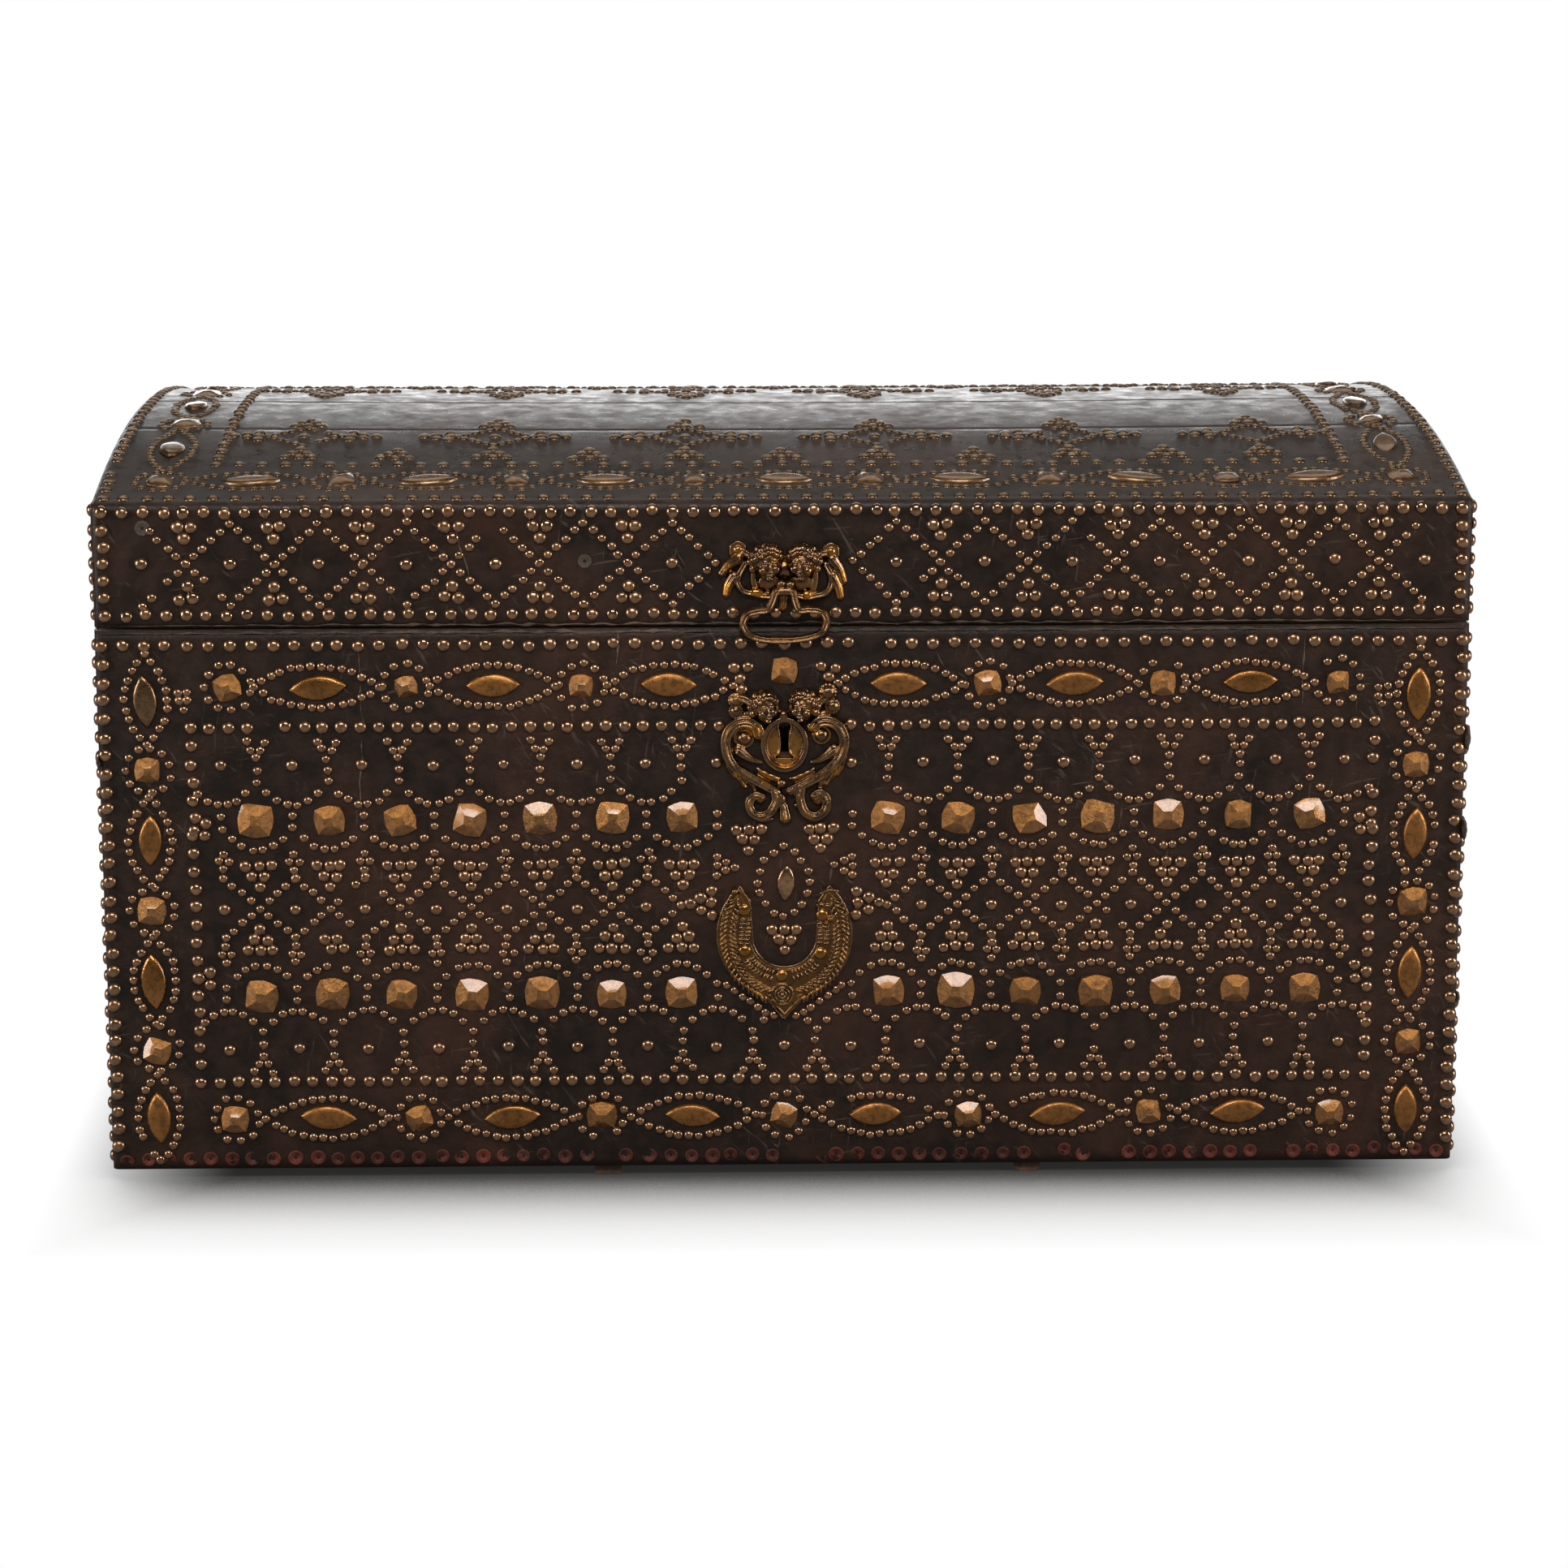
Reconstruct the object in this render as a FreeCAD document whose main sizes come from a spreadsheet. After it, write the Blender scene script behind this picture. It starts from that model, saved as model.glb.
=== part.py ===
import FreeCAD, Part
import math
import os
from types import SimpleNamespace

import Sketcher
from FreeCAD import Placement, Rotation, Vector

# A leather-covered blanket chest with a shallow domed lid, brass bosses and three cast mounts.
# Millimetres. The front faces -Y, +Z is up, and the floor under the runners is at zero.

os.makedirs("parts", exist_ok=True)
doc = FreeCAD.newDocument("blanket_chest")
sheet = doc.addObject("Spreadsheet::Sheet", "dims")
SIZES = {
    # Sizes of the case
    "case_width": 1100,  # over the leather, left to right
    "case_depth": 560,  # over the leather, front to back
    "case_height": 452,  # from the case's underside to its rim
    "case_board": 18,  # thickness of the four walls
    "floor_board": 16,  # thickness of the floor planks
    "floor_planks": 3,  # planks in the floor
    "hide": 2.5,  # thickness of the leather
    "runner_height": 10,  # the runners lift the case off the floor
    "runner_width": 22,  # left to right
    "runner_setback": 5,  # runner ends behind the front and back leather
    "runner_left": 145,  # left runner's middle, left of the chest's middle
    "runner_right": 200,  # right runner's middle, right of the chest's middle
    "runner_round": 7,  # worn lower edges of the right runner
    # Sizes of the lid
    "lid_seam": 2.5,  # gap between the rim and the lid
    "lid_skirt": 100,  # upright part of the lid
    "lid_rise": 29,  # rise of the domed top above the skirt
    "lid_board": 15,  # thickness of the rails and the arched ends
    "stave_thick": 12,  # thickness of the staves
    "stave_count": 5,  # staves across the dome
    "stave_gap": 0.5,  # open joint between two staves
    # Sizes of the bosses and of the field that they stand in
    "square_half": 10.8,  # half the side of a square boss, corner to corner
    "square_bulge": 2.8,  # how far its sides bow out
    "square_height": 6.2,  # top above the leather
    "square_slope": 8.8,  # run of the hipped sides towards the flat top
    "boss_edge": 0.8,  # upright edge under the slopes of every boss
    "lens_length": 48,  # tip to tip
    "lens_width": 21,  # across the middle
    "lens_height": 4.6,  # top above the leather
    "lens_bevel": 3.4,  # run of the bevel
    "drop_length": 33,  # small upright lens above the crescent, tip to tip
    "drop_width": 15.8,  # small upright lens, across
    "drop_lift": 18.3,  # small upright lens, above the middle of the field
    "upper_chain": 46.5,  # upper chain of bosses, below the rim
    "upper_chain_start": 92.5,  # first boss of the upper chain, from the middle
    "upper_chain_pitch": 70.5,  # boss to boss along the upper chain
    "crown_boss": 35.5,  # boss above the keyhole, below the rim
    "chain_room": 60,  # least room between the end of a chain and the next chain
    "lower_chain": 42.6,  # lower chain of bosses, above the case's underside
    "lower_chain_pitch": 74.7,  # boss to boss along the lower chain
    "side_chain": 39,  # side chains, in from the edge of the case
    "side_chain_top": 56.5,  # first boss of a side chain, below the rim
    "side_chain_pitch": 58.6,  # boss to boss down a side chain
    "side_chain_room": 40,  # least room under a side chain
    "bay_start": 83,  # first boss of the field rows, from the middle
    "bay_pitch": 56.9,  # boss to boss along the field rows
    "field_low": 2.35,  # middle of the field below the middle between the two chains
    "bay_rows_apart": 146.9,  # upper field row to lower field row
    "lid_chain": 45,  # lid chains, in from the front and back edges
    "lid_chain_pitch": 71.4,  # boss to boss along the lid
    "lid_end_room": 45,  # least room between the lid chains and the lid's ends
    "lid_end_pitch": 78.3,  # boss to boss across the lid's ends
    # Sizes of the hinges
    "hinge_offset": 330,  # each hinge from the middle
    "hinge_width": 36,  # along the seam
    "hinge_strap": 3,  # thickness of the straps
    "hinge_drop": 150,  # case strap, below the pin
    "hinge_rise": 84,  # lid strap, above the pin
    "knuckle_radius": 5,  # outside of the barrels
    "knuckle_lift": 0.5,  # barrels clear of the leather
    "knuckle_gap": 0.5,  # between barrels, and from barrel to strap
    "hinge_pin_radius": 2.5,  # hinge pin
    "pin_clearance": 0.06,  # running clearance round every pin
    # Sizes of the end handles
    "handle_height": 300,  # pivot above the floor
    "handle_span": 124,  # lug to lug
    "handle_drop": 58,  # pivot to the middle of the grip
    "handle_rod": 6,  # grip, middle to corner
    "handle_pin": 3.4,  # radius of the turned-in ends
    "handle_start": 3,  # straight start of the arms beside the lugs
    "handle_bend": 12,  # bend between arm and grip
    "handle_standoff": 11,  # pivot away from the leather
    "lug_radius": 8,  # eye of a lug
    "lug_width": 9,  # along the pivot
    "lug_neck_half": 6.4,  # half the height of the neck under an eye
    "rose_radius": 17,  # round plate under a lug
    "rose_thick": 2.5,  # thickness of that plate
    # Sizes of the lock
    "lock_width": 116,  # left to right
    "lock_height": 118,  # top to bottom
    "lock_depth": 28,  # from the front board inwards
    "lock_wall": 2.5,  # iron of the lock case
    "lock_below_rim": 3,  # lock case top below the rim
    "bolt_below_rim": 20,  # middle of the bolt below the rim
    "bolt_in": 11.5,  # middle of the bolt from the front board inwards
    "bolt_thick": 9,  # front to back
    "bolt_tall": 10,  # top to bottom
    "bolt_length": 46,  # left to right
    "bolt_throw": 14,  # travel
    "bolt_clearance": 0.3,  # play in its guides
    "talon": 6,  # lug under the bolt that the key pushes
    "guide_wall": 4,  # each guide along the bolt
    "staple_thick": 5,  # lid staple, left to right
    "staple_depth": 18,  # lid staple, front to back
    "staple_reach": 32,  # lid staple below the rim
    "staple_plate": 3,  # thickness of the plate on the lid rail
    "staple_play": 1.6,  # room round the bolt in the staple and round the staple in the slot
    # Sizes of the keyhole and its escutcheon
    "keyhole_drop": 95.6,  # middle of the ring of the escutcheon below the rim
    "key_round_up": 13.2,  # middle of the keyhole's round top above the ring's middle
    "key_round": 5.1,  # radius of the round top
    "key_slot": 7.3,  # width of the slot
    "key_foot": 14.4,  # width of the foot
    "key_foot_tall": 5,  # height of the foot
    "key_drop": 25,  # round top's middle to the bottom of the foot
    "ring_half_width": 19.7,  # outside of the oval ring
    "ring_half_height": 23,  # outside of the oval ring
    "ring_band": 4.8,  # width of the ring
    "ring_relief": 5.2,  # height of the ring above the leather
    "plate_relief": 1.6,  # height of the sunk plate inside the ring
    "head_radius": 10.6,  # small heads on the escutcheon
    "head_spread": 15.8,  # from the middle
    "head_lift": 30.8,  # above the ring's middle
    "knob_radius": 6.8,  # outer knobs of both mounts
    "knob_spread": 37.6,  # from the middle, escutcheon
    "knob_lift": 37.5,  # above the ring's middle
    "volute_lift": 4.0,  # upper scrolls, middle of the curl above the ring's middle
    "volute_half": 2.7,  # half the width of a scroll
    "volute_relief": 4.2,  # height of the scrolls above the leather
    "stem_relief": 3.0,  # height of the stems above the leather
    "volute_turn": 12.5,  # upper scrolls, radius of the curl
    "volute_inner": 9.4,  # upper scrolls, radius of the inner half turn
    "volute_tail": 50,  # upper scrolls, radius of the tail
    "volute_eye": 7.4,  # boss in the eye of the upper scrolls
    "eye_relief": 5.9,  # height of that boss
    "stem_spread": 38.4,  # outer end of the stems, from the middle
    "stem_drop": 18.8,  # outer end of the stems, below the ring's middle
    "stem_bend": 87.5,  # radius of the stems
    "stem_end": 4.4,  # straight inner end of the stems
    "neck_spread": 12.6,  # bosses between the heads and the ring, from the middle
    "neck_lift": 22.3,  # the same bosses, above the ring's middle
    "foot_spread": 6.2,  # lower scrolls, start from the middle
    "foot_drop": 15,  # lower scrolls, start below the ring
    "foot_run": 8.8,  # lower scrolls, straight start
    "foot_turn": 9.5,  # lower scrolls, radius of the curl
    "foot_mid_turn": 8.6,  # the same, second quarter
    "foot_inner_turn": 5.7,  # the same, last turn
    "bead": 4.4,  # beads down the middle
    "bead_start": 2.2,  # first bead below the ring
    "bead_pitch": 6.8,  # bead to bead
    "bead_count": 6,  # beads below the ring
    # Sizes of the mask mount and its bail
    "mask_lift": 43.5,  # middle of the mask mount above the lid's lower edge
    "mask_head_radius": 11.6,  # two heads
    "mask_head_spread": 14.6,  # from the middle
    "mask_head_lift": 5,  # above the middle of the mount
    "mask_knob_lift": 19.5,  # knobs, above the middle of the mount
    "mask_drop": 19,  # lower scrolls, below the middle of the mount
    "mask_scroll_run": 20.4,  # lower scrolls, straight start
    "mask_scroll_turn": 10,  # lower scrolls, radius of the turned-up ends
    "wing_run": 8,  # wings, straight start
    "wing_turn": 25,  # wings, radius
    "wing_link_turn": 15,  # links under the wings, radius
    "wing_link_run": 10,  # links under the wings, straight end
    "cushion": 6.2,  # bosses under the heads, radius
    "cushion_drop": 11.7,  # the same, below the middle of the mount
    "crown": 6.6,  # boss between the heads, radius
    "throat": 5.3,  # boss over the barrel, radius
    "throat_drop": 7.9,  # the same, below the middle of the mount
    "tongue_tip": 4,  # last boss of the tongue, radius
    "tongue_reach": 26,  # the same, below the middle of the mount
    "bail_pivot_drop": 14.5,  # pivot below the middle of the mount
    "bail_standoff": 8,  # pivot away from the leather
    "bail_pin": 1.7,  # radius of the turned-in ends
    "bail_wire": 2.6,  # radius of the grip
    "bail_barrel": 4.2,  # radius of the barrel that holds the pins
    "bail_barrel_half": 4.6,  # half the length of the barrel
    "bail_stem_half": 3.4,  # half the height of the stem that carries the barrel
    "bail_start": 1.2,  # straight start of the arms beside the barrel
    "bail_neck": 3.5,  # drop of the arms before they spread
    "bail_shoulder": 9,  # bend where the arms spread
    "bail_side": 13,  # bend at each end of the grip
    "bail_spread": 80,  # degrees that the arms turn out
    # Sizes of the crescent mount
    "crescent_drop": 32.1,  # middle of the crescent below the middle of the field
    "crescent_reach": 55,  # middle to the outside
    "crescent_tip": 49,  # tips above the middle
    "crescent_tip_out": 36.3,  # outer corner of a tip, from the middle
    "crescent_tip_in": 27.5,  # inner corner of a tip, from the middle
    "crescent_tip_low": 36.3,  # inner corner of a tip, above the middle
    "crescent_gap": 25,  # half the gap
    "crescent_floor": 19.5,  # bottom of the gap below the middle
    "crescent_point": 65,  # bottom point below the middle
    "crescent_shoulder": 17.6,  # start of the point, from the middle
    "crescent_shoulder_drop": 45.6,  # start of the point, below the middle
    "crescent_ogee": 0.7,  # hollow of the sides of the point
    "crescent_relief": 4.6,  # height above the leather
    "crescent_plate": 2.4,  # height of the rim round the raised face
    "crescent_rim": 2.6,  # width of that rim
}
PIECES = []

for row, (alias, value) in enumerate(SIZES.items(), 1):
    sheet.set(f"A{row}", alias.replace("_", " "))
    sheet.set(f"B{row}", str(value))
    sheet.setAlias(f"B{row}", alias)
doc.recompute()
d = SimpleNamespace(**{alias: float(getattr(sheet, alias)) for alias in SIZES})

# Levels and faces that many pieces share, as expressions for the document
RIM = "(dims.runner_height + dims.case_height)"
LID = f"({RIM} + dims.lid_seam)"
CROWN = f"({LID} + dims.lid_skirt + dims.lid_rise)"
LEFT = "(-dims.case_width / 2)"
FRONT = "(-dims.case_depth / 2)"
BACK = "(dims.case_depth / 2)"
DOME = "(((dims.case_depth / 2)^2 + dims.lid_rise^2) / (2 * dims.lid_rise))"
INSIDE = f"({FRONT} + dims.hide + dims.case_board)"

# The same levels as numbers, for the shapes that are made directly
rim = d.runner_height + d.case_height
lid_edge = rim + d.lid_seam
skirt_top = lid_edge + d.lid_skirt
dome_radius = ((d.case_depth / 2) ** 2 + d.lid_rise**2) / (2 * d.lid_rise)
dome_middle = skirt_top + d.lid_rise - dome_radius


def keep(obj):
    """Note a document object as one piece of the chest."""
    PIECES.append(obj)
    return obj


def block(label, corner, extent):
    """A box from its lowest corner and its extent, all as expressions."""
    box = doc.addObject("Part::Box", label)
    for axis, text in zip("xyz", corner):
        box.setExpression(f"Placement.Base.{axis}", text)
    for name, text in zip(("Length", "Width", "Height"), extent):
        box.setExpression(name, text)
    return box


TURN = {"X": Rotation(Vector(0, 1, 0), 90), "Y": Rotation(Vector(1, 0, 0), -90)}


def rod(label, along, start, radius, length):
    """A round bar that starts at a point and runs along X or Y."""
    bar = doc.addObject("Part::Cylinder", label)
    bar.Placement = Placement(Vector(), TURN[along])
    for axis, text in zip("xyz", start):
        bar.setExpression(f"Placement.Base.{axis}", text)
    bar.setExpression("Radius", radius)
    bar.setExpression("Height", length)
    return bar


def pair(kind, label, base, tool):
    """A cut or a common of two objects."""
    both = doc.addObject(f"Part::{kind}", label)
    both.Base = base
    both.Tool = tool
    return both


def joined(label, members):
    """One solid out of several that overlap."""
    whole = doc.addObject("Part::MultiFuse", label)
    whole.Shapes = members
    whole.Refine = True
    return whole


def made(label, shape, place):
    """A shape that is made directly and then put in its place."""
    piece = doc.addObject("Part::Feature", label)
    piece.Shape = shape
    piece.Placement = place
    return keep(piece)


# The keyhole runs through the escutcheon, the leather and the front board into the lock
key_top = f"({RIM} - dims.keyhole_drop + dims.key_round_up)"
key_reach = "(2 * (dims.case_board + dims.hide))"
key_start = f"({FRONT} - dims.case_board)"
keyhole = joined(
    "keyhole",
    [
        rod("key_round_cut", "Y", ("0", key_start, key_top), "dims.key_round", key_reach),
        block(
            "key_slot_cut",
            ("-dims.key_slot / 2", key_start, f"{key_top} - dims.key_drop"),
            ("dims.key_slot", key_reach, "dims.key_drop"),
        ),
        block(
            "key_foot_cut",
            ("-dims.key_foot / 2", key_start, f"{key_top} - dims.key_drop"),
            ("dims.key_foot", key_reach, "dims.key_foot_tall"),
        ),
    ],
)


# Walls of the case: front and back run the full width, the ends stand between them
wall_long = "(dims.case_width - 2 * dims.hide)"
wall_left = f"({LEFT} + dims.hide)"
front_plain = block(
    "front_plain",
    (wall_left, f"{FRONT} + dims.hide", "dims.runner_height"),
    (wall_long, "dims.case_board", "dims.case_height"),
)
keep(pair("Cut", "front_board", front_plain, keyhole))
keep(
    block(
        "back_board",
        (wall_left, f"{BACK} - dims.hide - dims.case_board", "dims.runner_height"),
        (wall_long, "dims.case_board", "dims.case_height"),
    )
)
end_deep = "(dims.case_depth - 2 * dims.hide - 2 * dims.case_board)"
for side, near in (("left", wall_left), ("right", f"-{wall_left} - dims.case_board")):
    keep(
        block(
            f"{side}_end_board",
            (near, INSIDE, "dims.runner_height"),
            ("dims.case_board", end_deep, "dims.case_height"),
        )
    )

# Floor planks lie between the walls, edge to edge
plank = f"({end_deep} / dims.floor_planks)"
for number in range(int(d.floor_planks)):
    keep(
        block(
            f"floor_plank_{number + 1}",
            (f"{wall_left} + dims.case_board", f"{INSIDE} + {number} * {plank}", "dims.runner_height"),
            (f"{wall_long} - 2 * dims.case_board", plank, "dims.floor_board"),
        )
    )

# Runners under the case, front to back: the right one is worn round
runner_long = "(dims.case_depth - 2 * dims.runner_setback)"
left_runner = block(
    "left_runner",
    ("-dims.runner_left - dims.runner_width / 2", f"{FRONT} + dims.runner_setback", "0"),
    ("dims.runner_width", runner_long, "dims.runner_height"),
)
keep(left_runner)
right_blank = block(
    "right_runner_blank",
    ("dims.runner_right - dims.runner_width / 2", f"{FRONT} + dims.runner_setback", "0"),
    ("dims.runner_width", runner_long, "dims.runner_height"),
)
doc.recompute()
right_runner = doc.addObject("Part::Fillet", "right_runner")
right_runner.Base = right_blank
right_runner.Edges = [
    (number, d.runner_round, d.runner_round)
    for number, edge in enumerate(right_blank.Shape.Edges, 1)
    if edge.BoundBox.ZMax < 1e-6 and edge.BoundBox.YLength > d.runner_width
]
keep(right_runner)

# Leather panels on the four walls of the case
front_hide = block(
    "front_hide",
    (LEFT, FRONT, "dims.runner_height"),
    ("dims.case_width", "dims.hide", "dims.case_height"),
)
keep(pair("Cut", "front_leather", front_hide, keyhole))
keep(
    block(
        "back_leather",
        (LEFT, f"{BACK} - dims.hide", "dims.runner_height"),
        ("dims.case_width", "dims.hide", "dims.case_height"),
    )
)
hide_deep = "(dims.case_depth - 2 * dims.hide)"
for side, near in (("left", LEFT), ("right", f"-{LEFT} - dims.hide")):
    keep(
        block(
            f"{side}_leather",
            (near, f"{FRONT} + dims.hide", "dims.runner_height"),
            ("dims.hide", hide_deep, "dims.case_height"),
        )
    )


def dome(label, inset):
    """A long cylinder that carries the curve of the lid, inset from its leather."""
    return rod(
        label,
        "X",
        ("-dims.case_width", "0", f"{CROWN} - {DOME}"),
        f"{DOME} - {inset}",
        "2 * dims.case_width",
    )


def lid_block(label, corner, extent):
    """A box from the lid's lower edge up to its crown, to be cut by the dome."""
    return block(label, (*corner, LID), (*extent, "dims.lid_skirt + dims.lid_rise"))


dome_over = dome("dome_over_leather", "0")
dome_hide = dome("dome_under_leather", "dims.hide")
dome_wood = dome("dome_under_staves", "(dims.hide + dims.stave_thick)")
hide_shell = pair("Cut", "hide_shell", dome_over, dome_hide)
stave_shell = pair("Cut", "stave_shell", dome_hide, dome_wood)

# Rails along the front and back of the lid, with the arched ends between them
rail_end = "(dims.hide + dims.lid_board)"
frame_parts = {
    "lid_front_rail": ((wall_left, f"{FRONT} + dims.hide"), (wall_long, "dims.lid_board")),
    "lid_back_rail": ((wall_left, f"{BACK} - {rail_end}"), (wall_long, "dims.lid_board")),
    "lid_left_end": (
        (wall_left, f"{FRONT} + {rail_end}"),
        ("dims.lid_board", f"dims.case_depth - 2 * {rail_end}"),
    ),
    "lid_right_end": (
        (f"-{wall_left} - dims.lid_board", f"{FRONT} + {rail_end}"),
        ("dims.lid_board", f"dims.case_depth - 2 * {rail_end}"),
    ),
}
for label, (corner, extent) in frame_parts.items():
    keep(pair("Common", label, lid_block(f"{label}_blank", corner, extent), dome_wood))

# Staves over the frame, each a slice of the domed shell
stave_pitch = "((dims.case_depth - 2 * dims.hide) / dims.stave_count)"
for number in range(int(d.stave_count)):
    corner = (wall_left, f"{FRONT} + dims.hide + {number} * {stave_pitch} + dims.stave_gap / 2")
    extent = (wall_long, f"{stave_pitch} - dims.stave_gap")
    blank = lid_block(f"stave_blank_{number + 1}", corner, extent)
    keep(pair("Common", f"lid_stave_{number + 1}", blank, stave_shell))

# Leather over the lid: the domed sheet, and four skirts under its edges
top_blank = lid_block("lid_top_blank", (LEFT, FRONT), ("dims.case_width", "dims.case_depth"))
keep(pair("Common", "lid_top_leather", top_blank, hide_shell))
skirts = {
    "lid_front_leather": ((LEFT, FRONT), ("dims.case_width", "dims.hide")),
    "lid_back_leather": ((LEFT, f"{BACK} - dims.hide"), ("dims.case_width", "dims.hide")),
    "lid_left_leather": ((LEFT, f"{FRONT} + dims.hide"), ("dims.hide", hide_deep)),
    "lid_right_leather": ((f"-{LEFT} - dims.hide", f"{FRONT} + dims.hide"), ("dims.hide", hide_deep)),
}
for label, (corner, extent) in skirts.items():
    keep(pair("Common", label, lid_block(f"{label}_blank", corner, extent), dome_hide))


# Strap hinges on the back: the case leaf has the two outer barrels, the lid leaf the middle one
PIN_Y = f"({BACK} + dims.knuckle_lift + dims.knuckle_radius)"
PIN_Z = f"({RIM} + dims.lid_seam / 2)"
THIRD = "(dims.hinge_width / 3)"
CLEAR = "(dims.knuckle_radius + dims.knuckle_gap)"

TIP_SIDES = 8


def hinge_leaf(label, middle, barrels, low, high, tip_level, tab_level):
    """A strap with a canted end, tabs up to the pin and a bored barrel on each tab."""
    strap = block(
        f"{label}_strap",
        (f"{middle} - dims.hinge_width / 2", BACK, low),
        ("dims.hinge_width", "dims.hinge_strap", f"{high} - {low}"),
    )
    tip = doc.addObject("Part::Prism", f"{label}_tip")
    tip.Polygon = TIP_SIDES
    tip.Placement = Placement(Vector(), TURN["Y"] * Rotation(Vector(0, 0, 1), 180 / TIP_SIDES))
    for axis, text in zip("xyz", (middle, BACK, tip_level)):
        tip.setExpression(f"Placement.Base.{axis}", text)
    tip.setExpression("Circumradius", f"dims.hinge_width / 2 / cos({180 / TIP_SIDES})")
    tip.setExpression("Height", "dims.hinge_strap")
    members = [strap, tip]
    for number in barrels:
        start = f"({middle} - dims.hinge_width / 2 + {number} * {THIRD} + dims.knuckle_gap / 2)"
        width = f"({THIRD} - dims.knuckle_gap)"
        members.append(
            block(
                f"{label}_tab_{number}",
                (start, BACK, tab_level),
                (width, "dims.hinge_strap", CLEAR),
            )
        )
        members.append(
            rod(f"{label}_barrel_{number}", "X", (start, PIN_Y, PIN_Z), "dims.knuckle_radius", width)
        )
    bore = rod(
        f"{label}_bore",
        "X",
        (f"{middle} - dims.hinge_width", PIN_Y, PIN_Z),
        "dims.hinge_pin_radius + dims.pin_clearance",
        "2 * dims.hinge_width",
    )
    return keep(pair("Cut", label, joined(f"{label}_solid", members), bore))


under_pin = f"({PIN_Z} - {CLEAR})"
over_pin = f"({PIN_Z} + {CLEAR})"
case_end = f"({PIN_Z} - dims.hinge_drop + dims.hinge_width / 2)"
lid_end = f"({PIN_Z} + dims.hinge_rise - dims.hinge_width / 2)"
for side, middle in (("left", "(-dims.hinge_offset)"), ("right", "(dims.hinge_offset)")):
    hinge_leaf(f"{side}_case_hinge", middle, (0, 2), case_end, under_pin, case_end, under_pin)
    hinge_leaf(f"{side}_lid_hinge", middle, (1,), over_pin, lid_end, lid_end, PIN_Z)
    keep(
        rod(
            f"{side}_hinge_pin",
            "X",
            (f"{middle} - dims.hinge_width / 2", PIN_Y, PIN_Z),
            "dims.hinge_pin_radius",
            "dims.hinge_width",
        )
    )

# Lock: an iron case behind the front board, open towards it, with two guides for the bolt
LOCK_TOP = f"({RIM} - dims.lock_below_rim)"
BOLT_Z = f"({RIM} - dims.bolt_below_rim)"
BOLT_Y = f"({INSIDE} + dims.bolt_in)"
BOLT_X = "(-dims.staple_thick / 2 - 2 * dims.staple_play - dims.bolt_length)"
lock_shell = pair(
    "Cut",
    "lock_shell",
    block(
        "lock_outside",
        ("-dims.lock_width / 2", INSIDE, f"{LOCK_TOP} - dims.lock_height"),
        ("dims.lock_width", "dims.lock_depth", "dims.lock_height"),
    ),
    block(
        "lock_inside",
        (
            "-dims.lock_width / 2 + dims.lock_wall",
            f"{INSIDE} - dims.lock_wall",
            f"{LOCK_TOP} - dims.lock_height + dims.lock_wall",
        ),
        (
            "dims.lock_width - 2 * dims.lock_wall",
            "dims.lock_depth",
            "dims.lock_height - 2 * dims.lock_wall",
        ),
    ),
)
GUIDE_LOW = f"({BOLT_Z} - dims.bolt_tall)"
guide_starts = (
    f"({BOLT_X} + dims.guide_wall)",
    f"({BOLT_X} + dims.bolt_length - dims.bolt_throw + dims.guide_wall)",
)
guides = [
    block(
        f"lock_guide_{number}",
        (start, INSIDE, GUIDE_LOW),
        ("dims.guide_wall", "dims.lock_depth", f"{LOCK_TOP} - {GUIDE_LOW}"),
    )
    for number, start in enumerate(guide_starts, 1)
]
channel = block(
    "bolt_channel",
    (
        f"{BOLT_X} - dims.bolt_throw",
        f"{BOLT_Y} - dims.bolt_thick / 2 - dims.bolt_clearance",
        f"{BOLT_Z} - dims.bolt_tall / 2 - dims.bolt_clearance",
    ),
    (
        "dims.bolt_length + dims.bolt_throw",
        "dims.bolt_thick + 2 * dims.bolt_clearance",
        "dims.bolt_tall + 2 * dims.bolt_clearance",
    ),
)
STAPLE_Y = f"({BOLT_Y} - dims.staple_depth / 2)"
slot = block(
    "staple_slot",
    (
        "-dims.staple_thick / 2 - dims.staple_play",
        f"{STAPLE_Y} - dims.staple_play",
        f"{LOCK_TOP} - 2 * dims.lock_wall",
    ),
    (
        "dims.staple_thick + 2 * dims.staple_play",
        "dims.staple_depth + 2 * dims.staple_play",
        "4 * dims.lock_wall",
    ),
)
lock_solid = joined("lock_solid", [lock_shell, *guides])
keep(pair("Cut", "lock_case", pair("Cut", "lock_channelled", lock_solid, channel), slot))

bolt_bar = block(
    "bolt_bar",
    (BOLT_X, f"{BOLT_Y} - dims.bolt_thick / 2", f"{BOLT_Z} - dims.bolt_tall / 2"),
    ("dims.bolt_length", "dims.bolt_thick", "dims.bolt_tall"),
)
bolt_talon = block(
    "bolt_talon",
    (
        f"{guide_starts[0]} + 2 * dims.guide_wall",
        f"{BOLT_Y} - dims.bolt_thick / 2",
        f"{BOLT_Z} - dims.bolt_tall / 2 - dims.talon",
    ),
    ("dims.talon", "dims.bolt_thick", "2 * dims.talon"),
)
keep(joined("lock_bolt", [bolt_bar, bolt_talon]))

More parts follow.
